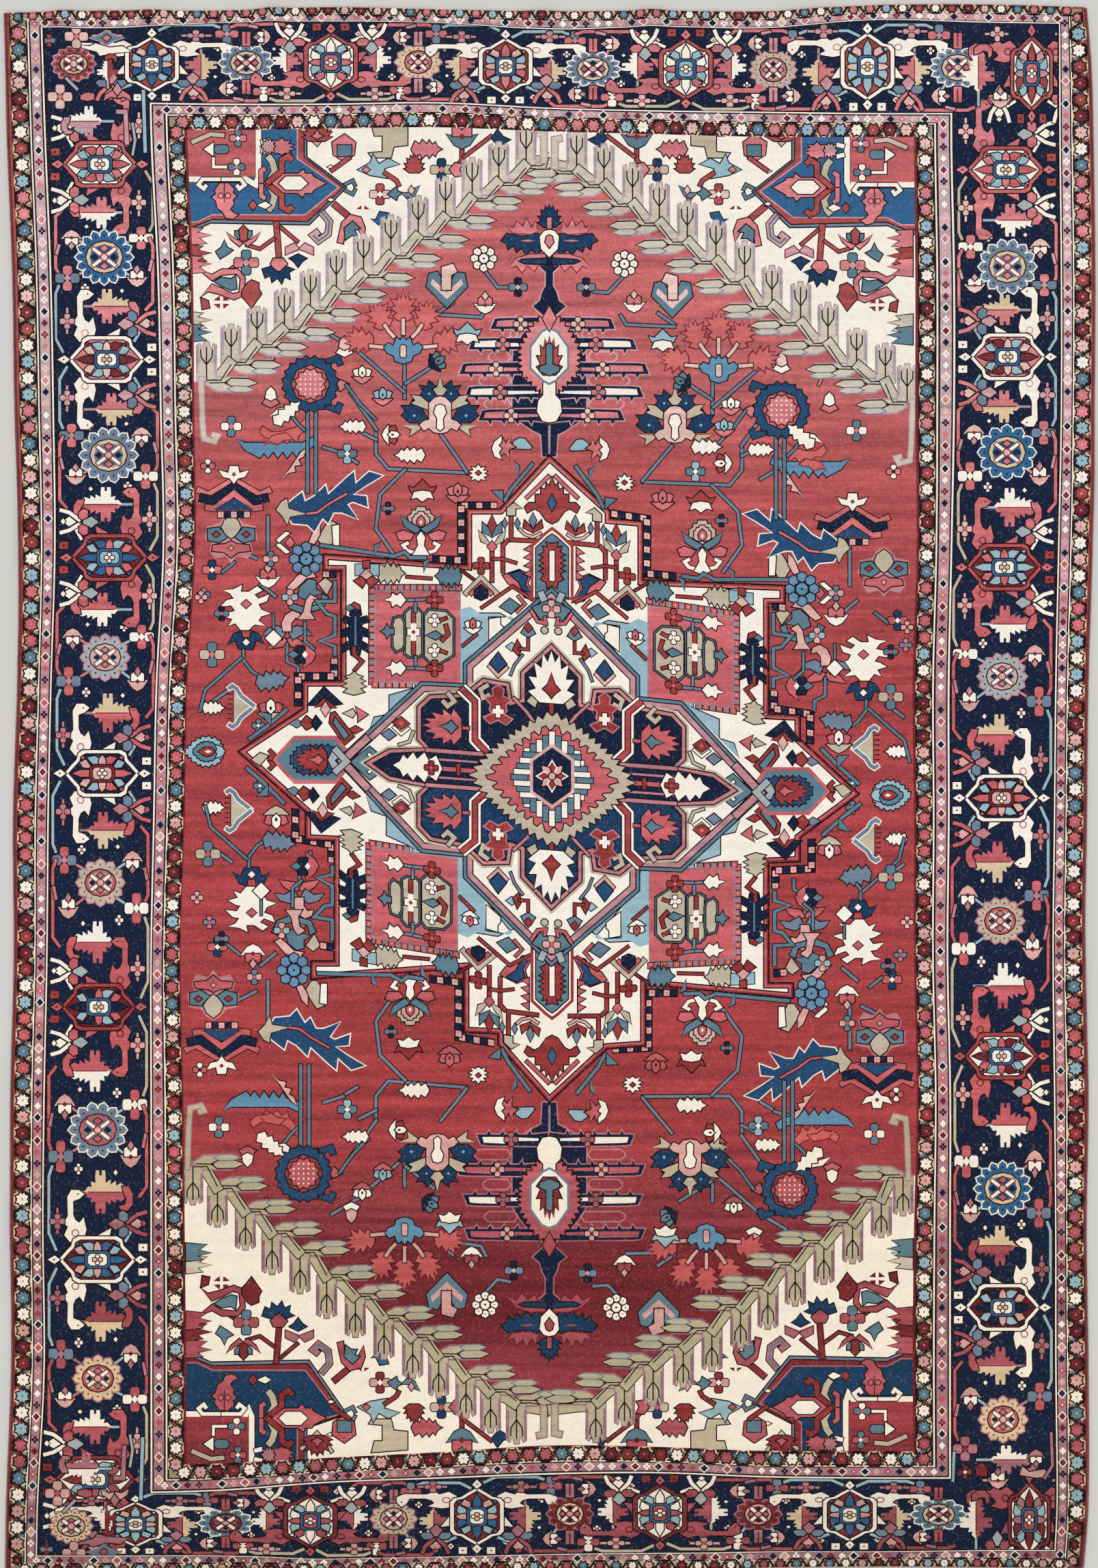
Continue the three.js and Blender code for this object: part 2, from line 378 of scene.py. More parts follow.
def paintFaces(middle, shapes, ground, names):   # the number of the dye of each face
    dye = np.full(len(middle), names.index(ground))
    cell = np.floor(middle / cellSize).astype(int)
    order = np.lexsort((cell[:, 1], cell[:, 0]))
    keys, starts = np.unique(cell[order], axis=0, return_index=True)
    stops = np.append(starts[1:], len(order))
    look = {tuple(k): order[a:b] for k, a, b in zip(keys, starts, stops)}
    for polygon, name in shapes:
        low = np.floor(polygon.min(0) / cellSize).astype(int)
        high = np.floor(polygon.max(0) / cellSize).astype(int)
        cells = [(i, j) for i in range(low[0], high[0] + 1) for j in range(low[1], high[1] + 1)]
        near = [look[place] for place in cells if place in look]
        if near:
            near = np.concatenate(near)
            dye[near[inside(polygon, middle[near, 0], middle[near, 1])]] = names.index(name)
    return dye


def slab(name, chart, loops, spacing, material):   # one zone of the rug as a closed slab with its pattern
    names = list(dyes)
    loops = [np.asarray(loop, float) for loop in loops]
    verts, faces, middle = patternFaces(loops, chart.shapes, spacing)
    dye = paintFaces(middle, chart.shapes, chart.ground, names)
    used, faces = np.unique(faces, return_inverse=True)
    faces = faces.reshape(-1, 3)
    verts = verts[used]
    # The rim: edges that belong to one face only
    sides = np.concatenate([faces[:, [0, 1]], faces[:, [1, 2]], faces[:, [2, 0]]])
    _, first, count = np.unique(np.sort(sides, 1), axis=0, return_index=True, return_counts=True)
    rim = sides[first[count == 1]]
    rimVerts = np.unique(rim)
    back = {int(v): len(verts) + i for i, v in enumerate(rimVerts)}
    rimFaces = [(int(a), back[int(a)], back[int(b)], int(b)) for a, b in rim]
    under, extra = underFaces(verts, rim, rimVerts, loops)
    flat = np.vstack([verts, verts[rimVerts]] + ([np.array(extra)] if extra else [])) * knot
    height = lift(flat[:, 0], flat[:, 1])
    height[:len(verts)] += rug["thick"]
    mesh = bpy.data.meshes.new(name)
    mesh.from_pydata(np.column_stack([flat, height]).tolist(), [], faces.tolist() + under + rimFaces)
    # The dye at every corner: triangles above and below, then the rim's faces of four corners
    colours = np.array([linear(dyes[n][0]) + [dyes[n][1]] for n in names], np.float32)
    plain = np.full(3 * len(under) + 4 * len(rimFaces), names.index("back"))
    attribute = mesh.color_attributes.new("dye", "FLOAT_COLOR", "CORNER")
    attribute.data.foreach_set("color", colours[np.concatenate([np.repeat(dye, 3), plain])].ravel())
    planarUv(mesh, len(faces), flat)
    mesh.materials.append(material)
    print(name, "faces", len(mesh.polygons), "forms", len(chart.shapes))
    return newObject(name, mesh)


# the pile fills the map; the rim and underside have a strip at its foot
def planarUv(mesh, faceCount, flat):
    strip = 0.04
    low, size = flat.min(0), np.ptp(flat, axis=0)
    layer = mesh.uv_layers.new(name="OFBake")
    loopVerts = np.empty(len(mesh.loops), int)
    mesh.loops.foreach_get("vertex_index", loopVerts)
    place = (flat[loopVerts] - low) / size
    top = np.arange(len(loopVerts)) < faceCount * 3
    uv = np.where(top[:, None], place * [1, 1 - strip] + [0, strip], place * [1, strip * 0.8])
    layer.data.foreach_set("uv", uv.astype(np.float32).ravel())


def toothed(points, tooth=3.4, depth=1.5, closed=True):   # a saw-toothed copy of an outline, teeth outwards
    p = [tuple(q) for q in points]
    area = sum(a[0] * b[1] - b[0] * a[1] for a, b in zip(p, p[1:] + p[:1]))
    side = 1 if area > 0 else -1
    result = []
    for a, b in zip(p, p[1:] + p[:1]) if closed else zip(p, p[1:]):
        length = math.hypot(b[0] - a[0], b[1] - a[1])
        count = max(int(length / tooth + 0.5), 1)
        nx, ny = side * (b[1] - a[1]) / length, -side * (b[0] - a[0]) / length
        for i in range(count):
            t, m = i / count, (i + 0.5) / count
            result.append((between(a[0], b[0], t), between(a[1], b[1], t)))
            if length > tooth * 0.8:
                result.append((between(a[0], b[0], m) + nx * depth, between(a[1], b[1], m) + ny * depth))
    return result


def mirrored(half):   # an outline from its left half
    half = list(at(half))
    return half + [(-x, y) for x, y in reversed(half) if abs(x) > 0.01]


def cross4(c, r, dye, heart="coral", tips=""):   # four blunt petals
    for i, (x, y) in enumerate(((0, 1), (0, -1), (1, 0), (-1, 0))):
        petal = tips if tips and i < 2 else dye
        c.block(x * r * 0.62, y * r * 0.62, r * 0.36, r * 0.36, petal, cut=r * 0.13)
    c.gem(0, 0, r * 0.3, r * 0.3, heart, line="")


def lotus(c, s, base="ivory", body="coral", heart="wine", tip="pink"):   # a small open lotus, upwards
    c.side(s, s).form("-6,1.5 -3,-2.5 0,-4 3,-2.5 6,1.5 3.4,.8 -3.4,.8", base)
    c.side(s, s).form("-3.6,.8 -3.6,4.2 -2,5 -1.4,3.4 0,6.4 1.4,3.4 2,5 3.6,4.2 3.6,.8", body)
    c.gem(0, 5.6 * s, 1.6 * s, 2.2 * s, tip)
    c.gem(0, 0.6 * s, 1.6 * s, 1.2 * s, heart, line="")


# a ring of dotted petals round a crossed heart
def rosette(c, rx, ry, rim, trim, star, heart="ivory", eye="navy", lobes=14):
    petals = []
    for i in range(lobes):
        for part, reach in ((-0.46, 0.8), (-0.34, 0.96), (0, 1.06), (0.34, 0.96), (0.46, 0.8)):
            a = (i + part) * 2 * math.pi / lobes
            petals.append((rx * reach * math.cos(a), ry * reach * math.sin(a)))
    c.form(petals, rim, line=trim)
    dots = "brick" if rim in ("sand", "camel") else eye
    for i in range(lobes):
        a = i * 2 * math.pi / lobes
        c.gem(rx * 0.82 * math.cos(a), ry * 0.82 * math.sin(a), 0.9, 0.9, dots, line="")
    ellipse = [(math.cos(math.pi * i / 6), math.sin(math.pi * i / 6)) for i in range(12)]
    c.form([(x * rx * 0.66, y * ry * 0.6) for x, y in ellipse], star)
    c.form([(x * rx * 0.54, y * ry * 0.48) for x, y in ellipse], rim, line="", edge=0)
    for sx in (-1, 1):
        c.gem(sx * rx * 0.36, 0, rx * 0.16, ry * 0.14, eye, line="")
        c.gem(0, sx * ry * 0.34, rx * 0.15, ry * 0.12, trim if trim != "ivory" else "coral")
    for sy in (-1, 1):
        c.band([(-rx * 0.42, -sy * ry * 0.34), (rx * 0.42, sy * ry * 0.34)], 2.2, heart, line="wine")
    c.disc(0, 0, 2.3, "pink", line="wine")


# a leaf with teeth on both sides, a square one in the middle, and a hook
def comb(c, one="coral", two="sand", stem="mauve"):
    c.band("-22,0 -11,0", 1.8, stem)
    for sy, dye in ((1, two), (-1, one)):
        c.side(1, sy).form("-12,0 -9,3.4 -6.4,3 -7,6.4 -3.6,5.4 -3.8,9 -3.4,13 -.9,13 -.9,10 .9,10 .9,13 "
            "3.4,13 3.8,9 3.6,5.4 7.4,7.6 7.4,4.4 11,6.8 11.4,4 15,5.4 19,3 19,-.6 14,0", dye, line="",
            edge=0.4)
    c.form("16,3.4 20.6,3.4 23.4,-1 23.4,-7 20,-11 15,-10.6 13.4,-8.4 18,-7.6 19,-4 16.6,0", one)
    c.band("-9,0 15,0", 0.8, "wine", line="")


# the clasp at a cartouche's shoulder: a body with pointed ears, a thin neck and a small head
def beast(c, dye, trim="wine"):
    c.form("-20,13 -10,14 -8,22 -10,31 -13,27 -16,29 -17.6,33 -17.6,43 -13,44.6 -9.4,48 -13.6,51 -19,51 "
        "-21.8,46 -21.4,32 -24.4,27 -21.4,24 -24,18", dye)
    c.disc(-16, 19.5, 2, dye, line=trim)
    c.gem(-14, 48, 0.8, 0.8, "ink", line="")
    c.form("-10,14 -8,17 0,17.6 10,23 9,18 14,15", dye)
    c.gem(1, 16.4, 4.2, 1.4, "steel", line="")


def cartouche(c, frame="ivory", ground="coral", core="ivory", one="wine", two="sky", three="pink",
        sprig="coral"):
    red = frame != "ivory"
    hexagon = mirrored(at("0,17 -14,17 -17.6,15 -19,10 -22,7 -28,0 -22,-7 -19,-10 -17.6,-15 -14,-17 0,-17"))
    for sy in (1, -1):
        k = c.side(1, sy)
        k.band("20,13 24,20 21,26", 2, "ivory" if red else "sky")
        k.band("21,25 29,20 36,18", 2.6, sprig)
        k.band("21,27 29,33 36,35", 2.6, sprig)
        k.form("24,26 29,23 34,26.5 29,30", "ivory" if red else "pink")
        for dy in (20.6, 31.4):
            k.form([(16, 26), (15.6, dy - 3), (18.6, dy - 4.4), (22, dy - 2), (22, dy + 2),
                (18.6, dy + 4.4), (15.6, dy + 3)], "coral" if red else "slate")
        k.form("8,26 13,22 19,25 19,27 13,30", "grey" if red else "rose")
        k.gem(33.5, 26.5, 1.8, 2.2, sprig)
        beast(k, "coral" if red else frame, trim="wine" if red else "rose")
        k.block(33, 9, 3.2, 2.6, "brick" if red else "ivory")
        k.gem(33, 9, 0.9, 0.9, "ink", line="")
        bud = k.within(-29, 28)
        bud.band("0,-9 0,10", 1.6, "pink" if red else "rose")
        cross4(bud, 5.4, "pink" if red else "rose", "coral")
    c.form(hexagon, frame)
    c.form([(x * 0.86, y * 0.82) for x, y in hexagon], ground)
    for sx in (-1, 1):
        c.side(sx).form("27,0 31,-3 36,0 31,3", "coral" if red else "ivory")
        c.gem(sx * 31.5, 0, 0.9, 0.9, "ink", line="")
        c.side(sx).form("22,0 16,-2.4 9,-2.4 9,2.4 16,2.4", one)
        for sy in (-1, 1):
            c.side(sx, sy).form("8,4 14,4.4 16.6,8 12,10", three if sx < 0 else two)
            c.side(sx, sy).form("1.4,7 7,7 11,11.6 5.6,12.6 1.4,10.6", two if sx < 0 else one)
            c.gem(sx * 14.4, sy * 11.6, 1.4, 1.2, one)
    for sy in (-1, 1):
        c.side(1, sy).form("-2.6,7 2.6,7 2,11 0,13.4 -2,11", three)
    c.block(0, 0, 9, 6.2, "royal" if ground != "navy" else "wine", cut=2.2)
    c.block(0, 0, 6.8, 4.2, core, cut=1.8)
    cross4(c, 3.4, "sand" if core == "ivory" else "ivory", "coral", "ivory")


bands = {   # the dye that starts at each part of the way inwards, along the sides and along the ends
    "outer": [
        ("brick", 0.015, 0.02), ("ink", 0.07, 0.06), ("olive", 0.1, 0.09), ("ink", 0.5, 0.36),
        ("ivory", 0.545, 0.395), ("ink", 0.58, 0.44), ("guard", 0.62, 0.48), ("ink", 0.86, 0.855),
        ("ivory", 0.9, 0.895), ("ink", 0.94, 0.945),
    ],
    "inner": [
        ("ivory", 0.035, 0.03), ("ink", 0.08, 0.08), ("guard", 0.12, 0.135), ("ink", 0.395, 0.41),
        ("ivory", 0.445, 0.45), ("ink", 0.485, 0.49), ("olive", 0.54, 0.54), ("ink", 0.89, 0.885),
        ("wine", 0.935, 0.925),
    ],
    "pinkOuter": (0.74, 0.67), "vineOuter": (0.295, 0.22), "pinkInner": (0.26, 0.275),
    "vineInner": (0.717, 0.715),
}


def walk(loop, pitch):   # evenly spaced places on a closed line, with its direction in degrees
    p = np.array(loop)
    reach = np.linalg.norm(np.roll(p, -1, 0) - p, axis=1)
    ends = np.concatenate([[0], np.cumsum(reach)])
    count = int(ends[-1] / pitch / 2) * 2
    for i in range(count):
        s = ends[-1] * (i + 0.5) / count
        j = min(int(np.searchsorted(ends, s, "right")) - 1, len(p) - 1)
        a, b = p[j], p[(j + 1) % len(p)]
        x, y = a + (b - a) * (s - ends[j]) / reach[j]
        angle = math.degrees(math.atan2(b[1] - a[1], b[0] - a[0]))
        yield i, x, y, angle, abs(x) > abs(y) * 0.7 and abs(x) > 250


def pinkGuard(c, loop, size, pitch):   # small stars and diamonds on the mottled pink
    turn = ["ivory", "navy", "wine", "ivory", "coral", "navy", "pink", "wine"]
    for i, x, y, angle, _ in walk(loop, pitch):
        k = c.within(x, y, angle)
        dye = turn[(i * 5 + i // 7) % 8]
        if i % 3 == 0:
            k.block(0, 0, size * 0.8, size * 0.3, dye, line="")
            k.block(0, 0, size * 0.3, size * 0.8, dye, line="")
            k.gem(0, 0, 0.8, 0.8, "coral" if dye != "coral" else "ivory", line="")
        else:
            k.gem(0, 0, size * 0.9, size * 0.8, dye,
                line="mauve" if dye == "ivory" else "ivory" if i % 2 else "")


def meander(c, loop, size, pitch):   # an angular dark vine with a little lobed flower in each bend
    turn = ["ivory", "coral", "sky", "brick", "pink", "steel", "coral", "ivory", "wine"]
    hearts = {"ivory": "pink", "sky": "slate", "pink": "coral", "steel": "sky"}
    flower = at("1,.3 .62,.5 .5,1 0,.74 -.5,1 -.62,.5 -1,.3 -.72,0 -1,-.3 -.62,-.5 -.5,-1 0,-.74 .5,-1 "
        ".62,-.5 1,-.3 .72,0")
    places = []
    for i, x, y, angle, onSide in walk(loop, pitch):   # the vine runs flatter along the outer ends
        places.append((i, x, y, angle, size if onSide or size < 5.4 else size * 0.62))
    lines = {1: [], -1: []}
    for i, x, y, angle, reach in places:
        a = math.radians(angle)
        for flip in (1, -1):
            side = flip * (1 if i % 2 else -1)
            for t in (-0.3, 0.3):
                lines[flip].append((x + math.cos(a) * pitch * t - math.sin(a) * side * reach,
                    y + math.sin(a) * pitch * t + math.cos(a) * side * reach))
    for flip, width, dye in ((-1, 1.1, "sand"), (1, 1.5, "ink")):
        points = lines[flip]
        for a, b in zip(points, points[1:] + points[:1]):
            if math.hypot(b[0] - a[0], b[1] - a[1]) > 0.3:
                c.band([a, b], width, dye, line="")
    for i, x, y, angle, reach in places:
        k = c.within(x, y, angle, reach / size, reach / size if i % 2 else -reach / size)
        dye = turn[(i * 4 + i // 7) % 9]
        k.form([(px * size * 0.84, py * size * 0.8) for px, py in flower], dye, edge=1.0)
        k.gem(0, 0, size * 0.2, size * 0.2, hearts.get(dye, "rose"), line="")
        k.gem(-pitch * 0.5, -size * 0.4, 1.5, 1.7, "brick" if i % 2 else "steel", line="")


def partLoop(group, name):
    lines = ("edge", "outer") if group == "outer" else ("inner", "field")
    share = bands[name] if isinstance(name, str) else name
    return ring(lines[0], lines[1], share[0], share[1])


def guards(group, ground):
    c = Chart(ground)
    for dye, onSide, onEnd in bands[group]:
        c.fill(partLoop(group, (onSide, onEnd)), dye)
    name = group.capitalize()
    pinkGuard(c, partLoop(group, "pink" + name), 3.2, 8.4)
    vine = partLoop(group, "vine" + name)
    meander(c, vine, 5.2 if group == "inner" else 5.6, 12)
    return c


# What stands where along the navy border, from one corner round: side, place along it in knots, form, dyes
ringForms = {
    "left": [
        (457, "A", "red", "ivory", "ivory"), (389, "r", "royal", "sand"),
        (314, "B", "coral", "wine", "ivory"), (244, "r", "slate", "sand"),
        (169, "A", "royal", "wine", "sky"), (96, "r", "grey", "pink"),
        (11, "B", "navy", "coral", "pink"), (-69, "r", "camel", "coral"),
        (-160, "A", "navy", "wine", "ivory"), (-250, "r", "slate", "coral"),
        (-345, "B", "wine", "royal", "ivory"), (-432, "r", "sand", "coral"),
        (-506, "A", "brick", "navy", "ivory"),
    ],
    "right": [
        (453, "A", "red", "ivory", "ivory"), (382, "r", "slate", "sand"),
        (316, "B", "coral", "wine", "ivory"), (246, "r", "royal", "sand"),
        (162, "A", "sky", "wine", "ivory"), (82, "r", "grey", "pink"),
        (-7, "B", "navy", "coral", "pink"), (-97, "r", "camel", "coral"),
        (-196, "A", "wine", "coral", "ivory"), (-293, "r", "royal", "sand"),
        (-380, "B", "wine", "navy", "ivory"), (-462, "r", "sand", "coral"),
    ],
    "top": [
        (-291, "B", "brick", "royal", "ivory"), (-222, "r", "slate", "sand"),
        (-160, "A", "ivory", "sky", "coral"), (-96, "r", "sand", "coral"),
        (-32, "B", "brick", "coral", "ivory"), (32, "r", "slate", "sand"),
        (100, "A", "ivory", "coral", "sky"), (164, "r", "camel", "coral"),
        (233, "B", "brick", "sky", "ivory"), (299, "r", "slate", "sand"),
    ],
    "bottom": [
        (-303, "B", "brick", "sky", "ivory"), (-237, "r", "steel", "brick"),
        (-175, "A", "ivory", "royal", "coral"), (-114, "r", "camel", "pink"),
        (-53, "B", "brick", "royal", "ivory"), (15, "r", "brick", "sand"),
        (81, "A", "ivory", "sky", "coral"), (153, "r", "brick", "pink"),
        (220, "B", "brick", "royal", "ivory"), (285, "r", "steel", "sand"),
    ],
}


def borderPlace(side, at):   # the middle and half width of the navy there, with its turn
    if side in ("left", "right"):
        s = -1 if side == "left" else 1
        a, b = sideLine(s, at, "outer"), sideLine(s, at, "inner")
        return (a + b) / 2, at, 0 if s < 0 else 180, abs(a - b) / 2
    e = 1 if side == "top" else -1
    a, b = endLine(e, at, "outer"), endLine(e, at, "inner")
    return at, (a + b) / 2, -90 if e > 0 else 90, abs(a - b) / 2


def borderRun(c, side):
    forms = ringForms[side]
    upright = -1 if side == "bottom" else 1   # the bottom band stands the same way up as the top one
    # what lies between a cartouche and a rosette
    for (a, kindA, *_), (b, kindB, *_) in zip(forms, forms[1:]):
        box, bloom, kind = (a, b, kindA) if kindB == "r" else (b, a, kindB)
        x, y, turn, half = borderPlace(side, bloom)
        along = 1 if box > bloom else -1
        flip = along if side in ("left", "top") else -along
        ivory = kind == "B"
        # x is towards the clasps, y along the border from the rosette to the cartouche, 73 knots away
        k = c.within(x, y, turn, half / 37.5 * upright * (-1 if ivory else 1), flip * abs(box - bloom) / 73)
        k.band("12,9 22,14", 1.8, "rose" if ivory else "sky")
        k.band("-12,9 -22,15", 1.8, "sky" if ivory else "rose")
        k.band("33,20 35.6,26 35.6,58 30,68", 2, "sky" if ivory else "camel")
        k.band("-33,-14 -35.6,-8 -35.6,32 -30,38", 2.2, "coral")
        k.band("-33,10 -35,2", 2, "rose")
        cross4(k.within(27, 15), 9, "slate" if ivory else "ivory", "rose" if ivory else "ivory", "coral")
        lotus(k.within(-24, 16, 0, 1, -1), 1.3, "pink", "ivory", "wine", "rose")
        comb(k.within(-2, 35, 0, -1, -0.94), "coral", "sand" if ivory else "ivory",
            "mauve" if ivory else "sky")
        k.gem(-13, 24, 1.6, 1.6, "ivory")
        cross4(k.within(14, 22), 3, "ivory", "coral")
        k.gem(-27, 50, 1.5, 1.5, "coral", line="ivory")
    for at, kind, *dye in forms:
        x, y, turn, half = borderPlace(side, at)
        k = c.within(x, y, turn, half / 37.5 * upright, 1)
        end = side in ("top", "bottom")
        tall = 1.15 if end else 1.0
        if kind == "r":
            big = dye[0] in ("royal", "slate", "steel")
            rosette(k, 16 if end else 20 if big else 17, 19 if big else 16, dye[0],
                "ivory" if big else "rose", dye[1], lobes=12 + int(abs(at)) % 3 * 2)
            for sx in (-1, 1):
                if end:   # stout stems to both edges of the end bands
                    k.side(sx).band("16,0 29,0", 6, "coral" if big else "rose")
                    k.side(sx).band("18,0 29,0", 1.2, "wine", line="")
        elif kind == "A":   # red frame, clasps inwards
            ground = dye[1] if dye[1] in ("ivory", "wine") else "ivory"
            cartouche(k.side(-1, tall), "red", ground, dye[2], dye[0], "sky", "coral", "ivory")
        elif kind == "B":
            cartouche(k.side(1, tall), "ivory", dye[0], dye[2], dye[1], "sky", "pink", "coral")


def corner(c, side, end):
    x = (sideLine(side, end * 530, "outer") + sideLine(side, end * 530, "inner")) / 2
    y = (endLine(end, side * 330, "outer") + endLine(end, side * 330, "inner")) / 2
    if side < 0:   # a small rosette with leaves and flowers round it
        k = c.within(x, y, 0, 1, end)
        rosette(k.within(-17, 1), 15, 12, "brick" if end > 0 else "sand", "rose", "camel")
        k.form("-17,15 -5,14 -1,16 9,13 19,14 25,10 13,9 2,7 0,10 -8,12", "ivory" if end > 0 else "rose")
        k.form("-6,20 2,22 7,25 12,22 20,20 12,18 7,15 2,18", "steel", line="rose")
        k.gem(7, 20, 3, 2.4, "coral")
        cross4(k.within(-27, -23), 9, "pink", "coral")
        cross4(k.within(-15, 21), 8.5, "pink", "coral")
        cross4(k.within(-35, 18), 4.4, "slate", "coral", "brick")
        comb(k.within(8, -5, 90, 0.55, 0.6), "brick", "ivory", "rose")
        for sx in (-1, 1):
            k.within(15, 0, 0, sx).form("0,-16 3,-18 9,-22 10,-26 5,-23 0,-24",
                "coral" if end > 0 else "pink")
        k.form("12,-18 15,-13 18,-18 15,-22", "rose")
        k.band("-23,-9 -14,-18", 2, "grey")
        k.form("-12,-22 -7,-20 -2,-21 -2,-25 -7,-26 -12,-25", "coral")
        comb(k.within(-6, -41, 0, -0.85, 0.85), "rose", "ivory", "sky")
        k.band("14,-34 21,-34 22,-58", 3, "rose")
        k.band("34,-18 35.4,-64", 2.4, "sky")
        k.band("26,-42 28,-55 26,-66", 1.8, "grey")
        return
    k = c.within(x + 19, y - 4, -90, 1, 0.9)   # an upright cartouche stands in both right corners
    cartouche(k, "red", "ivory", "coral", "brick", "sky", "rose", "ivory")
    lotus(c.within(x - 4, y - end * 24), 1.3, "pink", "ivory", "wine", "rose")
    comb(c.within(x - 20, y - 6, 90, 1, 0.9), "coral", "ivory", "sky")
    if end < 0:
        comb(c.within(x + 2, y + 40, 0, 1, 0.8), "rose", "ivory", "sky")
        cross4(c.within(x - 28, y + 48), 9, "rose", "brick")
        lotus(c.within(x + 24, y + 43, 0, 1, -1), 1.1, "rose", "ivory", "brick", "rose")
        cross4(c.within(x - 28, y + 31), 5, "brick", "ivory")
        c.within(x, y).form("-20,28 -20,35 -16,38 -12,35 -12,28", "brick")
        c.within(x, y).form("12,29 14,35 19,31 30,33 34,28 24,27", "pink")
        c.within(x, y).band("-36,46 -37,24", 2, "sky")
        c.within(x, y).band("35,60 36,36 30,26", 2, "rose")


def mainBorder():
    c = Chart("navy")
    for side in ("left", "right", "top", "bottom"):
        borderRun(c, side)
    for side in (-1, 1):
        for end in (-1, 1):
            corner(c, side, end)
    return c


# a leaf with four pairs of short barbs, tip upwards
def fir(c, length=22, dye="ivory", heart="", wide=0.3):
    w = length * wide
    c.side(w, length).form(mirrored("0,-.5 -.2,-.47 -.85,-.38 -.5,-.22 -1,-.14 -.52,.01 -.95,.09 -.46,.21 "
        "-.74,.29 -.28,.36 0,.5"), dye)
    if heart:
        c.gem(0, -length * 0.05, w * 0.26, length * 0.2, heart)


# a toothed fan over a small calyx
def palmette(c, w, h, rim="navy", body="coral", heart="ivory", eye="wine"):
    outline = [(-w * 0.25, 0), (-w * 0.8, h * 0.12), (-w, h * 0.45), (-w * 0.75, h * 0.72),
        (-w * 0.4, h * 0.85), (0, h)]
    c.form(toothed(mirrored(outline), 3.6, 1.8), rim)
    c.form(toothed(mirrored([(x * 0.66, h * 0.14 + y * 0.66) for x, y in outline]), 3.2, 1), body)
    c.form(mirrored([(x * 0.32, h * 0.22 + y * 0.42) for x, y in outline]), heart)
    c.gem(0, h * 0.38, w * 0.12, h * 0.1, eye, line="")
    c.form(mirrored([(0, -2.5), (-w * 0.35, 0), (-w * 0.45, h * 0.16), (-w * 0.15, h * 0.12),
        (0, h * 0.16)]), rim)


# a half flower of three petals on a leafy foot
def bloom(c, r, dye="ivory", body="coral", base="navy", heart="ink"):
    c.side(r, r).form("-1,-.1 -.5,-.55 0,-.8 .5,-.55 1,-.1 .5,.1 -.5,.1", base)
    for sx in (-1, 1):
        c.form([(sx * r * 0.15, 0), (sx * r * 0.75, 0), (sx * r * 0.95, r * 0.55),
            (sx * r * 0.55, r * 0.75), (sx * r * 0.2, r * 0.5)], body)
    c.side(r, r).form(mirrored("0,-.15 -.35,.2 -.3,.75 0,1.05"), dye)
    c.gem(0, r * 0.3, r * 0.13, r * 0.22, heart, line="")


def star8(c, r=9, dye="ivory"):   # a rosette of eight petals with dotted tips
    for i in range(8):
        a = math.pi / 4 * i
        c.disc(0.68 * r * math.cos(a), 0.68 * r * math.sin(a), r * 0.28, dye, sides=6)
        c.gem(0.68 * r * math.cos(a), 0.68 * r * math.sin(a), 0.7, 0.7, "coral", line="")
    c.disc(0, 0, r * 0.34, dye)
    c.gem(0, 0, 1, 1, "ink", line="")


def blob(c, w, h, dye, heart=""):   # a broad leaf with coarse barbs
    c.side(w, h).form(mirrored("0,-1 -.35,-.72 -.9,-.92 -.62,-.5 -1.12,-.3 -.66,-.08 -1.1,.22 -.55,.3 "
        "-.8,.72 -.3,.6 0,1"), dye)
    if heart:
        c.gem(0, 0, w * 0.3, h * 0.26, heart)


def chevron(c, w, h, dye, second, petal):   # a bud between two folded wings
    c.side(w, h).form(mirrored("0,-.55 -1,.1 -.86,.5 -.45,.55 0,-.02"), dye)
    c.side(w, h).form(mirrored("0,-.28 -.8,.18 -.7,.34 0,-.08"), second, line="")
    c.side(w, h).form("-.25,0 .2,0 .2,.45 .5,.55 .3,.8 -.25,.7", petal)


def check(c, line, size=4.6, one="navy", two="pink", dot="coral"):   # a row of small squares with dots
    for (ax, ay), (bx, by) in zip(line, line[1:]):
        length = math.hypot(bx - ax, by - ay)
        count = max(int(length / size + 0.5), 1)
        turn = math.degrees(math.atan2(by - ay, bx - ax))
        for i in range(count):
            t = (i + 0.5) / count
            k = c.within(between(ax, bx, t), between(ay, by, t), turn)
            k.block(0, 0, size * 0.42, size * 0.42, one if i % 2 else two)
            if i % 2 == 0:
                k.gem(0, 0, size * 0.16, size * 0.16, dot, line="")


signs = at("1,1 -1,1 1,-1 -1,-1")   # the quarters: far left, far right, near left, near right


def quarters(c, spots, draw, *values, **named):   # a form at its own place in each quarter, mirrored
    for (sx, sy), (x, y) in zip(signs, at(spots)):
        draw(c.within(x, y, 0, sx, sy), *values, **named)


def turned(turn, draw):   # the same form turned in its place
    return lambda c, *values, **named: draw(c.within(0, 0, turn), *values, **named)


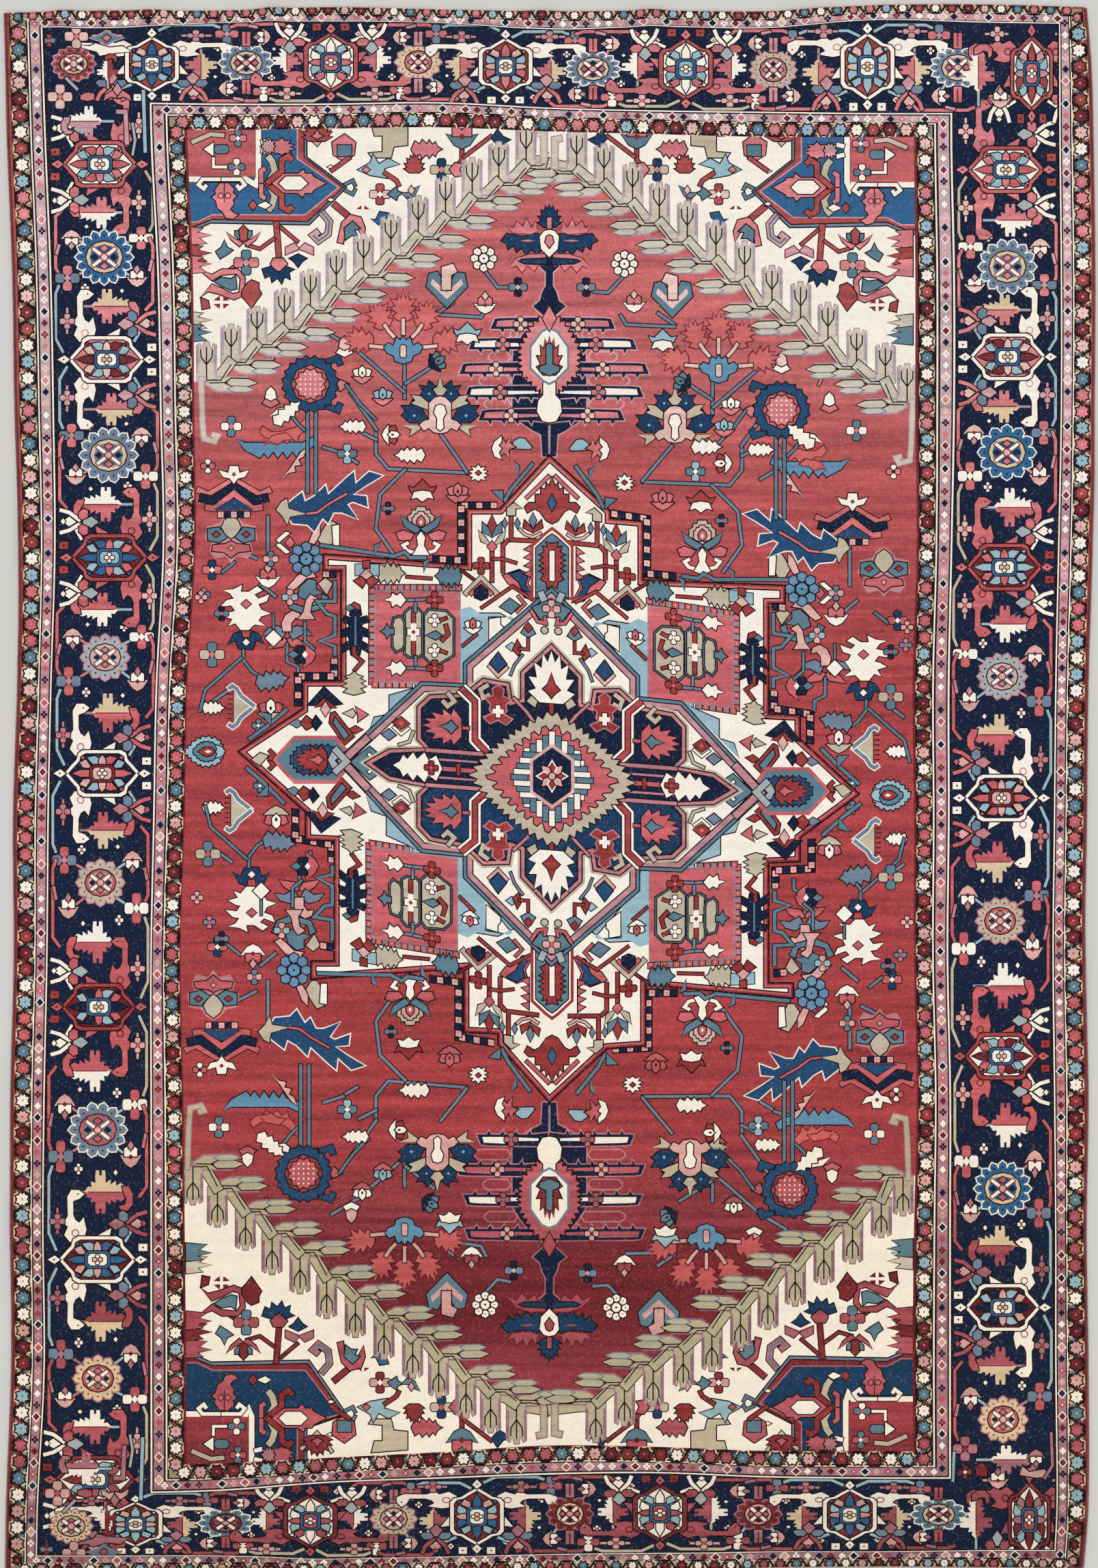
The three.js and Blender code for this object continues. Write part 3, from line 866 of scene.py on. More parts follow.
# The corners: where the plumes stand, from the middle of the end to the side of the field
plumes = [
    at("17,456 37,443.5 56.5,432 76,418 96,404 116,390 136,376 156,364 175,350 194,336 214,325 "
        "233,312 251,299"),
    at("20,452 40,442 61,428 80.5,414 101,400 122,386 143,371 163,353 184,341 204,326 225,309 "
        "246,298 262,283"),
    at("24,450 43,442 61,431 81,416 100,402 121,388 142,372 163,358 182.5,340 203,326 222.5,310 "
        "243,293 261,277"),
    at("34,449 55,437 76,422 98,409 119,397 140,380 160,366 180,349 201,333 222,318 243,301 259,285"),
]
cornerBands = [   # the blue arrow's tip and lower line, the red square's side and foot, then the blue
    (440, 417, 213, 448, "royal"), (437, 415, 218, 444, "royal"), (458, 423, 218, 460, "deepBlue"),
    (450, 420, 217, 449, "deepBlue"),
]


def plume(c, x, y, nextX, nextY, tall, dye):   # one upright plume, its foot and the leaf pair beside it
    c.band([(x, y + 3.2), (x + 10, y + 3.2), (nextX + 1, nextY + 2)], 7.4, dye)
    k = c.within(x, y)
    k.form("4,1.6 29,1.2 31,-5 28,-8 8,-7.6 0,-3", dye, line="mauve", edge=1.4)
    k.form("14,-2 18,1 31,.6 37,-2.2 31,-4.2 18,-4", dye)
    k.form("16,-6.6 20,-4.8 29,-5 34,-7 29,-8.6 20,-8.4", dye, line="slate")
    k.band("2,-2.2 16,-1.8", 0.9, "ink", line="")
    tip = [(6.8, 0.93), (5, 0.97), (3, 0.82), (1.6, 1.02), (-1.6, 1.02), (-3, 0.82), (-5, 0.97), (-7, 0.93)]
    k.form([(-7, -1), (6.6, 1)] + [(dx, tall * rise) for dx, rise in tip], dye, line="mauve")
    for side in (-1, 1):
        k.band([(side * 6.3, 5), (side * 6.3, tall * 0.92)], 1.8, "mauve", line="")
    k.side(1, tall).band("0,0 0,.9", 1.0, "ink", line="")
    k.side(1, tall).band("-4.4,.84 -4,.62 0,.42 4,.62 4.4,.84", 1.0, "ink", line="")
    c.band([(x, y), (x + 10.5, y - 0.2), (nextX, nextY - 1.5)], 0.9, "ink", line="")


def blueCorner(c, tipY, lineY, whiteX, redLow, blue):   # the blue arrow with the red square in its corner
    top = 500
    c.form([(-290, top), (-178, top), (-178, lineY + 45), (-149, tipY), (-176, lineY - 4),
        (-248, lineY - 2.6), (-262, lineY - 9), (-290, lineY - 9)], "slate", edge=1)
    c.form([(-290, top), (-180, top), (-180, lineY + 45), (-151.4, tipY), (-177, lineY - 1.6),
        (-247, lineY), (-262, lineY - 6), (-290, lineY - 6)], "brick")
    c.form([(-290, top), (-185, top), (-185, lineY + 44), (-155, tipY), (-179, lineY + 3.4),
        (-247, lineY + 3.4), (-258, lineY - 2), (-290, lineY - 2)], blue, line="rose")
    c.band([(-268, redLow - 2), (-222, redLow - 2), (-whiteX - 2, redLow - 6), (-whiteX, redLow),
        (-whiteX, top)], 4, "ivory")
    c.fill([(-290, top), (-whiteX - 2.4, top), (-whiteX - 2.4, redLow), (-290, redLow)], "red")
    for sx in (-1, 1):
        c.within(-240, redLow, 0, sx).band("0,-2 14,-2 17,-6 13,-9 11,-6", 2.6, "ivory")
        c.band([(-whiteX + 2, tipY + 30 + sx * 3), (-whiteX + 8, tipY + 30 + sx * 4.5)], 3, "ivory")
    beast = c.within(-238, redLow - 4)
    beast.form("-3,-1 -7,-6 -6,-9 -9,-11 -6,-14 -5,-19 -1,-22 1,-26 6,-27 10,-24 7,-23 4,-20 7,-16 6,-13 "
        "9,-10 6,-8 7,-5 3,-1", "coral")
    beast.band("0,-1 0,-15", 1, "wine", line="")
    for sx in (-1, 1):
        beast.disc(sx * 2.6, -10, 1.6, "rose", line="wine")
    blob(c.within(-196, tipY + 30), 8, 6, "coral")
    blob(c.within(-206, tipY + 30, 90), 5, 5, "rose")
    eye = c.within(-188, tipY + 3)
    eye.form("-22,0 -14,6 -4,7 4,7 8,10 9,7 14,7 15,5 24,0 15,-5 14,-7 9,-7 7,-10 4,-7 -4,-7 -14,-6",
        "coral")
    eye.form("-10,0 -5,5 6,5 11,0 6,-4.6 -5,-4.6", "ivory")
    for sy in (-1, 1):
        eye.side(1, sy).band("-18,0 -13,9 -15,16 -18,20", 4.4, "camel")
        eye.side(1, sy).band("-19,0 -8,9 -8,17 -3,20 0,17", 3.6, "brick")
        eye.side(1, sy).band("-23,.5 -23,9 -20,11", 3, "coral")
        eye.gem(28, sy * 12, 2.4, 1.2, "ivory")
        c.within(0, tipY, 0, 1, sy).band("-150,2 -144,5 -142,1", 1.8, "steel")
    cross4(c.within(-228, redLow + 28), 6, "coral", "ivory", "steel")
    cross4(c.within(-229, redLow + 7), 6, "steel", "coral", "ivory")
    c.within(0, redLow).form("-253,20 -246,25 -246,15", "ivory")
    c.block(-240, redLow + 20, 5, 3, "steel", cut=1.5)
    c.within(0, redLow).band("-262,25 -248,31 -238,30", 3, "camel")
    c.within(0, redLow).band("-246,14 -246,7 -236,7", 2, "ivory")
    c.within(0, lineY).form("-214,10 -208,7.4 -204,10 -208,12.6", "ivory")
    c.gem(-217, lineY + 10, 3, 3.6, "brick")


def ivoryFlowers(k):   # hooks under the blue arrow, then what grows on the ivory
    k.band("-158,428 -146,418", 4, "brick")
    k.form("-155,400 -152,414 -146,420 -138,418 -135,410 -136,402 -140,410 -144,414 -150,409 -151,399",
        "coral")
    k.form("-149,402 -150,410 -144,415 -139,410 -143,409 -141,405 -145,405", "steel")
    k.band("-167,422 -161,415 -162,406 -169,401 -173,405 -169,408", 4.2, "rose")
    k.band("-167,422 -161,415 -162,406 -169,401 -173,405", 1.4, "steel", line="")
    # flowers on the ivory
    k.band("-200,415 -198,389", 3.6, "brick")
    k.band("-201,403 -212,395 -222,398", 2, "brick")
    k.band("-197,411 -184,400", 2, "brick")
    k.form("-202,388 -204,384 -200,379 -196,379 -192,384 -195,388", "coral")
    k.form("-210,380 -204,382 -198,377 -193,382 -187,380 -191,378 -190,373 -194,375 -196,370 -199,374 "
        "-203,371 -204,376 -208,374", "deepBlue")
    for sx in (-1, 1):
        k.within(-224, 0, 0, sx).form("0,400 6,402 13,408 9,402 3,397", "coral")
        k.within(-224, 0, 0, sx).form("3,402 6,405 6,408 3,408", "steel")
        k.within(-183, 0, 0, sx).form("0,395 10,391 10,396 4,399", "rose", line="wine")
    k.form("-226,401 -227,409 -224,412 -221,409 -222,401", "brick")
    k.form("-190,388 -184,391 -178,388 -181,386 -184,382 -187,386", "deepBlue")
    cross4(k.within(-222, 385), 9, "coral", "rose", "steel")
    k.band("-231,382 -238,377", 1.8, "brick")
    k.form("-244,393 -240,396 -238,401 -236,396 -232,394 -236,391 -241,388", "steel")
    k.form("-258,381 -254,378 -247,372 -240,376 -229,377 -226,373 -227,363 -232,362 -240,366 -247,369 "
        "-257,358 -250,364 -242,362 -231,358 -224,361 -223,374 -228,380 -240,380 -247,376", "coral")
    k.form("-245,371 -240,374 -233,373 -230,375 -229,366 -233,365 -240,368", "steel")
    k.form("-225,364 -221,370 -218,372 -213,370 -213,366 -211,362 -214,358 -218,352 -222,357 -225,360",
        "brick")
    for sx in (-1, 1):
        for sy in (-1, 1):
            k.within(-240, 356, 0, sx, sy).form("1,1 6,1.4 1.4,5", "wine", line="", edge=0.4)
    k.form("-255,359 -250,357 -249,352 -254,351", "brick")
    for y, dye in ((405, "coral"), (392, "brick"), (384, "coral"), (343, "plume"), (334, "steel")):
        k.within(0, y).form("-266,6 -254,5 -258,2 -247,0 -257,-2 -251,-6 -266,-7", dye)


def alongEnd(c):   # along the end, from the blue arrow to the middle
    c.form("-159,473 -150,479 -142,473 -143,464 -150,459 -158,464", "coral")
    c.block(-150, 467, 5, 4, "steel")
    c.band("-182,484 -170,472 -159,486", 2.4, "camel")
    flare(c.within(-170, 474), 11, 14, "brick", "coral")
    c.band("-160,452 -146,462", 2.6, "brick")
    c.form("-130,486 -128,478 -122,478 -122,466 -132,465 -130,462 -116,462 -114,470 -104,471 -104,484",
        "camel")
    fir(c.within(-90, 468, -90), 22, "coral")
    flare(c.within(-99, 451), 7, 13, "brick")
    c.band("-64,470 -64,460 -72,451", 2.6, "brick")
    c.band("-63,462 -42,478", 2.2, "brick")
    lotus(c.within(-64, 476), 1.9, "steel", "coral", "wine", "steel")
    c.form("-42,476 -38,482 -34,477 -29,475 -37,470", "deepBlue")
    cross4(c.within(-79, 453), 8, "camel", "coral", "deepBlue")
    c.form("-73,453 -69,458 -64,457 -66,453 -64,449 -69,448", "coral")
    c.form("-140,453 -131,458 -129,464 -125,457 -118,461 -110,457 -121,454 -119,447 -131,449", "sky")
    c.gem(-134, 453, 2.6, 2.2, "coral")
    c.band("-121,451 -112,445 -110,441", 2.6, "brick")
    cross4(c.within(-124, 435), 7.5, "pink", "ivory", "brick")
    c.form("-118,435 -115,438 -112,440 -111,437 -107,436 -111,434 -112,431 -115,433", "steel")
    c.form("-108,436 -104,432 -99,434 -95,441 -99,439 -102,436", "slate")
    c.gem(-101, 438, 2.2, 3, "pink")
    c.band("-102,432 -102,426", 2.6, "brick")
    c.form("-131,417 -127,416 -124,422 -118,421 -119,418 -122,416 -125,413", "royal")
    for sx in (-1, 1):
        c.within(-136.5, 0, 0, sx).form("1,427 5,424 1,424", "wine", line="", edge=0.4)


def cornerPiece(c, number):
    lineY = cornerBands[number][1]
    stair = plumes[number]
    moss = "plume" if number < 2 else "moss"   # the far end's plumes are greener
    ground = [(0, 500), (-290, 500), (-290, stair[-1][1] - 6)] + [(-x, y) for x, y in stair[::-1]]
    c.fill(ground + [(0, stair[0][1] + 3)], "ivory")
    blueCorner(c, *cornerBands[number])
    ivoryFlowers(c.within(0, lineY - 417))
    alongEnd(c)
    for i, (x, y) in enumerate(stair):
        near = stair[i - 1] if i else (0, stair[0][1] + 4)
        plume(c, -x, y, -near[0], near[1], 27 if i > 9 else 29, moss)
    x, y = stair[-1]
    c.within(-x, y).band("-4,2 -3,-30 -2,-43 6,-45 8,-41 4,-40", 3.2, moss, line="mauve")
    c.band([(-4, stair[0][1] + 2), (-4, stair[0][1] + 23), (-9, stair[0][1] + 24)], 4, moss, line="mauve",
        edge=1)


# the stem with toothed arms beyond each end of the cross
# Each arm has its place along the stem, its reach left and right, and where its stripe bends
def pendant(c, stem, bulb, box, arms, neck, shield):
    c.form(mirrored([(0, stem - 2), (-5, stem - 2), (-6, bulb - 9), (-12, bulb - 6), (-27, bulb + 4),
        (-27, box[0] + 2), (-27, box[0] + 14), (-26, box[1] - 12), (-20, box[1] - 3), (-14, box[1] + 4),
        (-7, box[1] + 9), (-3, neck[0]), (-12, neck[0] + 8), (-7, neck[0] + 12), (-5, neck[0] + 19),
        (-2.6, neck[0] + 23), (-2.6, neck[1] - 6), (-7, neck[1] - 2), (-6, neck[1] + 4),
        (0, neck[1] + 7)]), "navy", line="rose", edge=1.0)
    c.band([(0, stem), (0, bulb - 2)], 1.6, "mauve", line="")
    for i, (y, left, right, inner) in enumerate(arms):
        for side, reach in ((-1, left), (1, right)):
            k = c.within(0, y, 0, side, 1)
            if i < len(arms) - 1:   # the red fingers between the arms
                low = (arms[i + 1][0] - y) / 2
                start = 24 if i == 0 else 29
                k.form([(start, low), (start + 2, low + 3.2), (reach - 18, low + 3.2),
                    (reach - 15, low + 1), (reach - 15, low - 1), (reach - 18, low - 3.2),
                    (start + 2, low - 3.2)], "red", line="rose", edge=1.1)
            teeth = []
            for t in range(int((reach - 10) / 10)):
                teeth += [(reach - 7 - t * 10, -3.6), (reach - 9 - t * 10, -6.6),
                    (reach - 10 - t * 10, -3.6)]
            k.form([(0, 5), (reach - 8, 4.4), (reach - 3, 3.8), (reach, -3.6)] + teeth + [(0, -5)],
                "navy", line="rose")
            k.form([(8, 1), (inner + 1, 1.2), (inner + 3, 3), (reach - 10, 2.6), (reach - 5, 2.2),
                (reach - 4, -1.8), (inner, -1.8), (8, -0.8)], "coral" if i % 2 == 0 else "ivory", line="")
            cross4(k.within(inner - 2, 0), 5, "pink" if i % 2 == 0 else "coral",
                "brick" if i % 2 == 0 else "steel")
    lowY, highY = box
    mid = (lowY + highY) / 2
    c.form(toothed(mirrored([(0, lowY - 10), (-9, lowY - 3), (-19, lowY + 7), (-20, highY - 13),
        (-11, highY + 3), (0, highY + 12)]), 4.2, 3.4), "coral")
    c.form(mirrored([(0, bulb), (-5, bulb + 1), (-9, bulb + 8), (-8, bulb + 16), (-4.4, bulb + 20),
        (-4.4, lowY), (0, lowY)]), "ivory")
    c.form(mirrored([(0, lowY - 1), (-4, lowY + 1), (-13, lowY + 10), (-13, highY - 12), (-5, highY - 1),
        (0, highY + 1)]), "ivory", line="slate", edge=1.6)
    flare(c.within(0, lowY + 5), 9, highY - lowY - 9, "brick")
    c.within(0, mid).form(mirrored("0,9 -2.2,8 -2.2,-6 -7,-8 -7,-11 0,-14"), "steel")
    c.gem(0, neck[0] - 1, 5, 9, "coral")
    for side in (-1, 1):
        k = c.within(0, shield, 0, side, 1)
        k.form("4,4 8,6 20,4 31,6 35,1 31,-1 30,-5 26,-2 24,-7 20,-4 17,-9 13,-5 9,-9 5,-5", "deepBlue")
        k.form("6,9 9,9 10,15 13,10 17,17 19,11 24,15 26,10 31,12 27,7 14,6", "coral", line="wine")
        k.form("3,-9 14,-9 24,-12 31,-20 24,-17 20,-22 16,-17 11,-21 8,-16 4,-17", "coral", line="wine")
        k.form("2,-12 20,-13 22,-14 18,-15.6 2,-16", "deepBlue")
        k.gem(16, 1, 6, 0.8, "coral", line="")
    c.within(0, shield).form(mirrored("0,-11 -6,-5 -7,4 -4,8 0,9"), "ivory")
    c.within(0, shield).form(mirrored("0,-4 -3,0 -2,4 0,5"), "coral")
    flare(c.within(0, shield + 11), 8, 16, "deepBlue")
    c.block(0, shield + 14, 1.6, 4, "coral")


crossLine = at("0,243 -36,204 -60,204 -60,163 -165,171 -165,160 -152,160 -152,78 -180,78 -180,58 -227,27 "
    "-178,-17 -178,-37 -157,-38 -157,-127 -174,-127 -174,-139 -62,-131 -62,-178 -37,-179 -37,-187 0,-229 "
    "42,-190 70,-188 70,-143 178,-153 178,-143 160,-143 160,-54 183,-53 183,-36 226,-4 183,36 183,53 "
    "160,54 160,136 172,136 172,148 68,152 68,195 44,197 44,203")


def coralPanel(c):   # the device of stacked boxes on a coral ground, and the pale blue beside it
    c.form("-66,130 -58,133 -45,124 -45,126 -28,126 -25,124 -58,88 -66,84 -98,81 -98,70 -62,70 -54,92 "
        "-20,118 -36,128 -50,128", "sky")
    c.fill("-66,131 -58,133 -45,124 -45,100 -58,86 -60,74 -98,72 -98,81 -66,84", "sky")
    c.form("-117,68 -103,72 -92,76 -132,42 -128,52 -117,54", "sky")
    c.form("-44,124 -36,125 -36,120 -34,118 -34,114 -44,107", "ivory")
    bloom(c.within(-56, 118), 6, "coral", "ivory", "ivory")
    c.band("-64,104 -53,113", 1.8, "brick")
    check(c, at("-64,147 -130,147 -130,76 -100,76"), 4.8, "mauve", "blush", "pink")
    c.form("-127,79 -66,77 -66,143 -127,144", "coral", line="mauve", edge=1.2)
    for part in (at("-91,97 -87,93 -81,92 -71,98 -71,124 -76,129 -88,130 -91,126"),
            at("-105,99 -102,97 -96,97 -94,99 -94,128 -97,131 -102,131 -105,128"),
            at("-114,104 -112,101 -108,103 -107,106 -107,121 -109,125 -113,124 -114,120")):
        c.form(grown(part, 1.4), "steel")
        c.form(part, "camel")
    c.band("-99.5,98 -99.5,130", 2.6, "brick")
    c.block(-99.5, 114.5, 4.4, 2.4, "ivory")
    c.block(-99.5, 114.5, 2, 6.4, "ivory", line="")
    c.gem(-99.5, 114.5, 1.8, 1.8, "brick", line="")
    c.form("-90,112 -86,114 -83,115 -79,112 -83,109", "steel")
    c.band("-76,120 -74,113 -79,108", 2.6, "brick")
    for y, sy in ((123, 1), (101, -1)):
        cross4(c.within(-84, y), 4.6, "ivory", "ivory")
        c.within(0, y, 0, 1, sy).band("-80,0 -75,2", 2, "brick")
    c.form("-123,115 -120,117 -119,120 -117,117 -114,117 -114,113 -117,113 -119,110 -120,113", "steel")
    for y, sy in ((88, 1), (138, -1)):
        c.within(0, y, 0, 1, sy).band("-98,9 -98,0 -108,0", 1.8, "slate")
        c.within(0, y, 0, 1, sy).band("-98,0 -84,-1", 1.8, "slate")
        c.within(0, y).form("-121,0 -116,2 -115,5 -112,3 -109,5 -105,0 -109,-5 -112,-3 -115,-5 -116,-1",
            "ivory")
        cross4(c.within(-84, y), 6, "brick", "coral")


def fourfold(quarter):   # an outline from its first quarter, mirrored in both axes
    right = list(quarter) + [(x, -y) for x, y in quarter[::-1] if abs(y) > 0.01]
    return right + [(-x, y) for x, y in right[::-1] if abs(x) > 0.01]


def medallionQuarter(k):   # between the body and its frame, then the side octagon and its striped band
    k.form("39,88 33,80 39,74 45,80", "sea")
    k.band("32,78 39,71 46,78", 2, "pink")
    k.band("30,72 27,80 21,88", 1.4, "slate")
    k.gem(29, 93, 4, 3, "sky")
    k.form("25,98 22,93 24,87 28,91", "brick")
    k.band("24,92 17,92 17,100", 1.6, "brick")
    k.form("12,104 17,101 22,104 19,109 17,106 15,109", "slate")
    k.gem(17, 108, 3, 3.4, "brick")
    k.gem(110, 31, 6, 4.6, "brick")
    k.gem(110, 31, 2, 1.8, "coral", line="")
    k.band("104,28 110,23 116,28", 1.6, "ivory")
    k.form("114,22 119,26 124,22 119,18", "slate")
    k.band("101,26 104,18 112,15", 1.8, "camel")
    k.band("66,60 56,51 56,23 47,14", 8.4, "ivory")
    k.band("66,60 56,51 56,23 47,14", 3.6, "red")
    k.band("50,12.8 92,12.8", 2.6, "rose")
    k.band("28,56 18,46 12,38", 2, "rose")
    k.band("76,56 71,50 76,46 80,50", 3, "camel")
    k.band("46,64 52,60 50,54 45,57", 3, "camel")
    k.band("60,31 70,31", 2.2, "coral")
    flare(k.within(66, 31, -90), 13, 28, "coral", "steel")
    flame = k.within(39, 47)
    flame.form(mirrored("0,17 -4,14 -3,9 -9,7 -5,3 -6,-1 -4,-4 -10,-7 -6,-11 0,-8"), "brick", line="rose")
    flame.block(0, -2, 1.6, 4.4, "ivory")
    flame.block(0, -2, 4, 1.6, "ivory", line="")
    k.form("18,54 12,50 10,55 14,59", "camel")


def medallionHeart(c):   # toothed rings round a navy hexagon
    heart = c.within(2, 7, lean=-0.05)
    heart.form(lens(61, 50, 50, 0.09), "camel")
    heart.form(lens(48, 40, 30, 0.11, 2), "coral")
    heart.form(fourfold([(0, 30), (28, 0)]), "coral", line="brick", edge=1.2)
    for i in range(-4, 5):   # upright and level bars stepped round the octagon
        for end in (-1, 1):
            heart.block(i * 4.6, end * (29 - abs(i) * 3.3), 2, 5.6, "ivory" if i % 2 == 0 else "steel")
            heart.block(end * (24 - abs(i) * 2.2), i * 4.2, 6, 1.8, "steel" if i % 2 == 0 else "ivory")
    core = c.within(2, 9)
    core.form(fourfold([(0, 21), (14, 11), (14, 0)]), "navy", line="pink", edge=2.2)
    for i in range(8):
        a = math.pi / 4 * i
        dye, line = ("pink", "ink") if i % 2 else ("brick", "ivory")
        core.within(0, 0, math.degrees(a)).form("0,0 6,-2.8 10.6,0 6,2.8", dye, line=line)
    core.disc(0, 0, 2.4, "pink")


def medallion(c):
    body = c.within(1.5, 8.5, lean=-0.075)
    frameOutline = np.array(fourfold(at("0,134 61,77 61,60 94,59 153,0")))
    body.form(grown(frameOutline, 3.2), "steel")
    body.form(grown(frameOutline, 0.4), "guard")
    body.form(grown(frameOutline, -4), "ivory")
    for end in (-1, 1):   # the frame's crossing ends, with small panels
        k = body.within(0, end * 127, 0, 1, end)
        k.band("-8,8 -6,3 0,-4 6,3 8,8", 4.4, "grey")
        k.form("0,3 -14,-4 -8,-12 0,-9 8,-12 14,-4", "steel")
        cross4(k.within(0, -4), 6.4, "pink", "coral")
        for side in (-1, 1):
            k.side(side).band("15,-6 10,-14 4,-15 5,-10", 2, "coral")
            k.disc(side * 5, -20, 2.4, "camel")
        s = body.within(end * 151, 0, 0, end, 1)
        s.form("-18,-12 -4,0 -18,12 -30,3 -30,-3", "steel")
        s.band("-27,0 -20,4 -17,7", 2, "ivory")
        s.band("-27,0 -20,-4 -17,-7", 2, "ivory")
        s.band("-17,-19 2,0 -17,19", 5, "guard")
        s.band("8,-9 -1,0 8,9", 4.4, "grey")
    quarter = at("0,97 22,75 22,55 29,53 31,66 50,68 58,61 64,56 89,53 98,44 98,20 92,14 119,11 136,0")
    body.form(grown(np.array(fourfold(quarter)), 2.6), "camel", line="", edge=0)
    body.form(fourfold(quarter), "rose", edge=1)
    body.form(grown(np.array(fourfold(quarter)), -3.2), "navy")
    body.fill([(x, min(y, -14)) for x, y in grown(np.array(fourfold(quarter)), -3.8)], "deepBlue")
    for sx in (-1, 1):
        for sy in (-1, 1):
            medallionQuarter(body.side(sx, sy))
    for end in (-1, 1):
        k = body.within(0, end * 46, 0, 1, end)
        k.band("0,0 0,12", 3, "brick")
        flare(k.within(0, 8), 17, 38, "ivory", "brick")
        s = body.within(end * 98, 0, -90 * end)
        s.band("0,-48 0,-12", 3, "coral")
        s.band("-4,-30 4,-30", 2.4, "brick")
        for side in (-1, 1):
            s.side(side).band("6.6,-44 6.6,-8", 1.4, "rose", line="")
        fir(s, 36, "ivory", "", 0.3)
        cross4(s.within(0, -10), 5, "brick", "coral")
    medallionHeart(c)


def crossGround(c):   # the ivory cross with its stepped edge
    for dx, dy, sx, sy, lean in cornersShift:
        k = c.within(dx, dy, 0, sx, sy, lean)
        for steps in (at("-38,207 -64.5,207 -64.5,167 -86,168"), [(-166, 157), (-156, 157)],
                at("-157.5,95 -157.5,82 -184,82 -184,60")):
            k.band(steps, 6.4, "ink", line="")
            check(k, steps, 5)
    c.form(crossLine, "brick", edge=1.3)
    c.form(grown(crossLine, -1.2), "coral", line="", edge=0)
    c.form(grown(crossLine, -3.6), "ivory", edge=1.0)
    for dx, dy, sx, sy, lean in cornersShift:
        crossQuarter(c.within(dx, dy, 0, sx, sy, lean))


def leafClaw(c):   # a white claw, coral petals and a pale blue leaf, lying on its side
    c.form("10,-1 12,4 16,6.6 20,6 25,0 24,-1.6", "sky")
    c.form("2,1 4,6 6,2 10,9 9,3 13,0 8,-2 9,-9 5,-4 2,-7", "coral")
    c.form("3,8 -2,4 -4,-1 -2,-7 3,-9 1,-4 3,-1 .6,1 3,4", "ivory")


def crossFlowers(c):   # what stands on its middle lines
    # the dark palmette at each end and the blue lantern under it
    for end, tip, low in ((1, 226, 187), (-1, 213, 165)):
        k = c.within(2, 0, 0, 1, end)
        flame = k.within(0, tip)
        flame.form(mirrored("0,3 -2,-5 -4,-3 -5,-8 -8,-6 -8,-11 -12,-11 -12,-17 -17,-17 -20,-20 -18,-24 "
            "-13,-21 -9,-23 -4,-30 0,-32"), "brick")
        k.gem(0, tip - 17, 3, 6, "royal")
        for side in (-1, 1):
            flame.side(side).band("2,3 9,-4 19,-13.5", 2.2, "coral")
        k.within(0, low).form(mirrored("0,-47 -13.6,-47 -13.6,-10 -4,-1 0,2"), "ivory", line="brick",
            edge=2.2)
        k.within(0, low).form(mirrored("0,-47 -11.6,-47 -11.6,-11 -3,-3 0,-1"), "steel")
        k.form(toothed(mirrored([(0, low - 38), (-4, low - 36), (-5.4, low - 30), (-5.4, low - 14),
            (0, low - 8)]), 4.4, 3.6), "brick")
        k.block(0, low - 24, 1.8, 11, "ivory")
    for side, x, y in ((-1, -172, 21), (1, 175, -2)):
        k = c.within(x, y, 0, side, 1)
        k.form("-27,0 -15,15 14,15 28,0 14,-15 -15,-15", "steel", line="coral", edge=2.6)
        k.form(toothed(at("-20,0 -12,9 10,9 17,0 10,-9 -12,-9"), 4.4, 2), "sea")
        flare(k.within(-9, 0, -90), 10, 24, "brick", "coral")
        k.form("-10,0 -13,6 -20,5 -18,0 -20,-5 -13,-6", "grey")
        k.form("34,3 40,5 46,0 40,-4", "camel")
        for sy in (-1, 1):
            k.side(1, sy).band("33,0 30,4 33,7", 2.4, "brick")


def beetle(c):   # a dark leaf like a beetle, upright
    c.form(mirrored("0,17 -3,16 -4,13 -2,11 -8,12 -10,8 -5,7 -4,4 -9,2 -10,-3 -5,-2 -4,-6 -9,-9 -9,-14 "
        "-4,-11 -3,-16 0,-18"), "navy")
    c.band("0,-12 0,12", 1.2, "steel", line="")


def blossomRing(c, r=19, dye="coral"):   # an open toothed crown with horns round a dotted flower
    def circle(reach, count):
        places = np.linspace(0, 2 * math.pi, count + 1)[:-1]
        return [(r * reach * math.cos(a), r * reach * math.sin(a)) for a in places]

    for sy in (-1, 1):
        c.side(1, sy).band("12,16 20,19 22,14", 4, "sea")
    c.form(toothed(circle(1, 10), 6, 2.4), "sea")
    c.form(circle(0.72, 8), "red")
    c.form(toothed(circle(0.5, 12), 4, 2.4), dye)
    for i in range(5):
        for j in range(5):
            if abs(i - 2) + abs(j - 2) < 4:
                c.gem((i - 2) * 3.6, (j - 2) * 3.6, 0.8, 0.8, "ivory", line="")


def fan(c):   # ribs that open from a blue calyx to five curled heads
    for x, y, turn in ((-32, 6, 80), (-17, 24, 25), (0, 30, 0), (17, 24, -25), (32, 6, -80)):
        k = c.within(x, y, turn)
        k.form(mirrored("0,-10 -4,-9 -7,-6 -4,-4 -9,0 -5,1 -9,6 -4,5 -4,10 -1.6,6 0,13"), "blush",
            line="wine", edge=1.1)
    for x, y in ((-25, 2), (-14, 18), (0, 22), (14, 18), (25, 2)):
        c.side(x, y).band(".45,.45 .75,.7 1,1", 2.4, "pink")
    c.form(mirrored("0,-11 -6,-9 -7,-5 -12,-3 -14,1 -11,4 -7,2 -5,8 -2,6 0,9"), "azure")
    c.block(0, -2, 2, 4.4, "pink", cut=0.8)


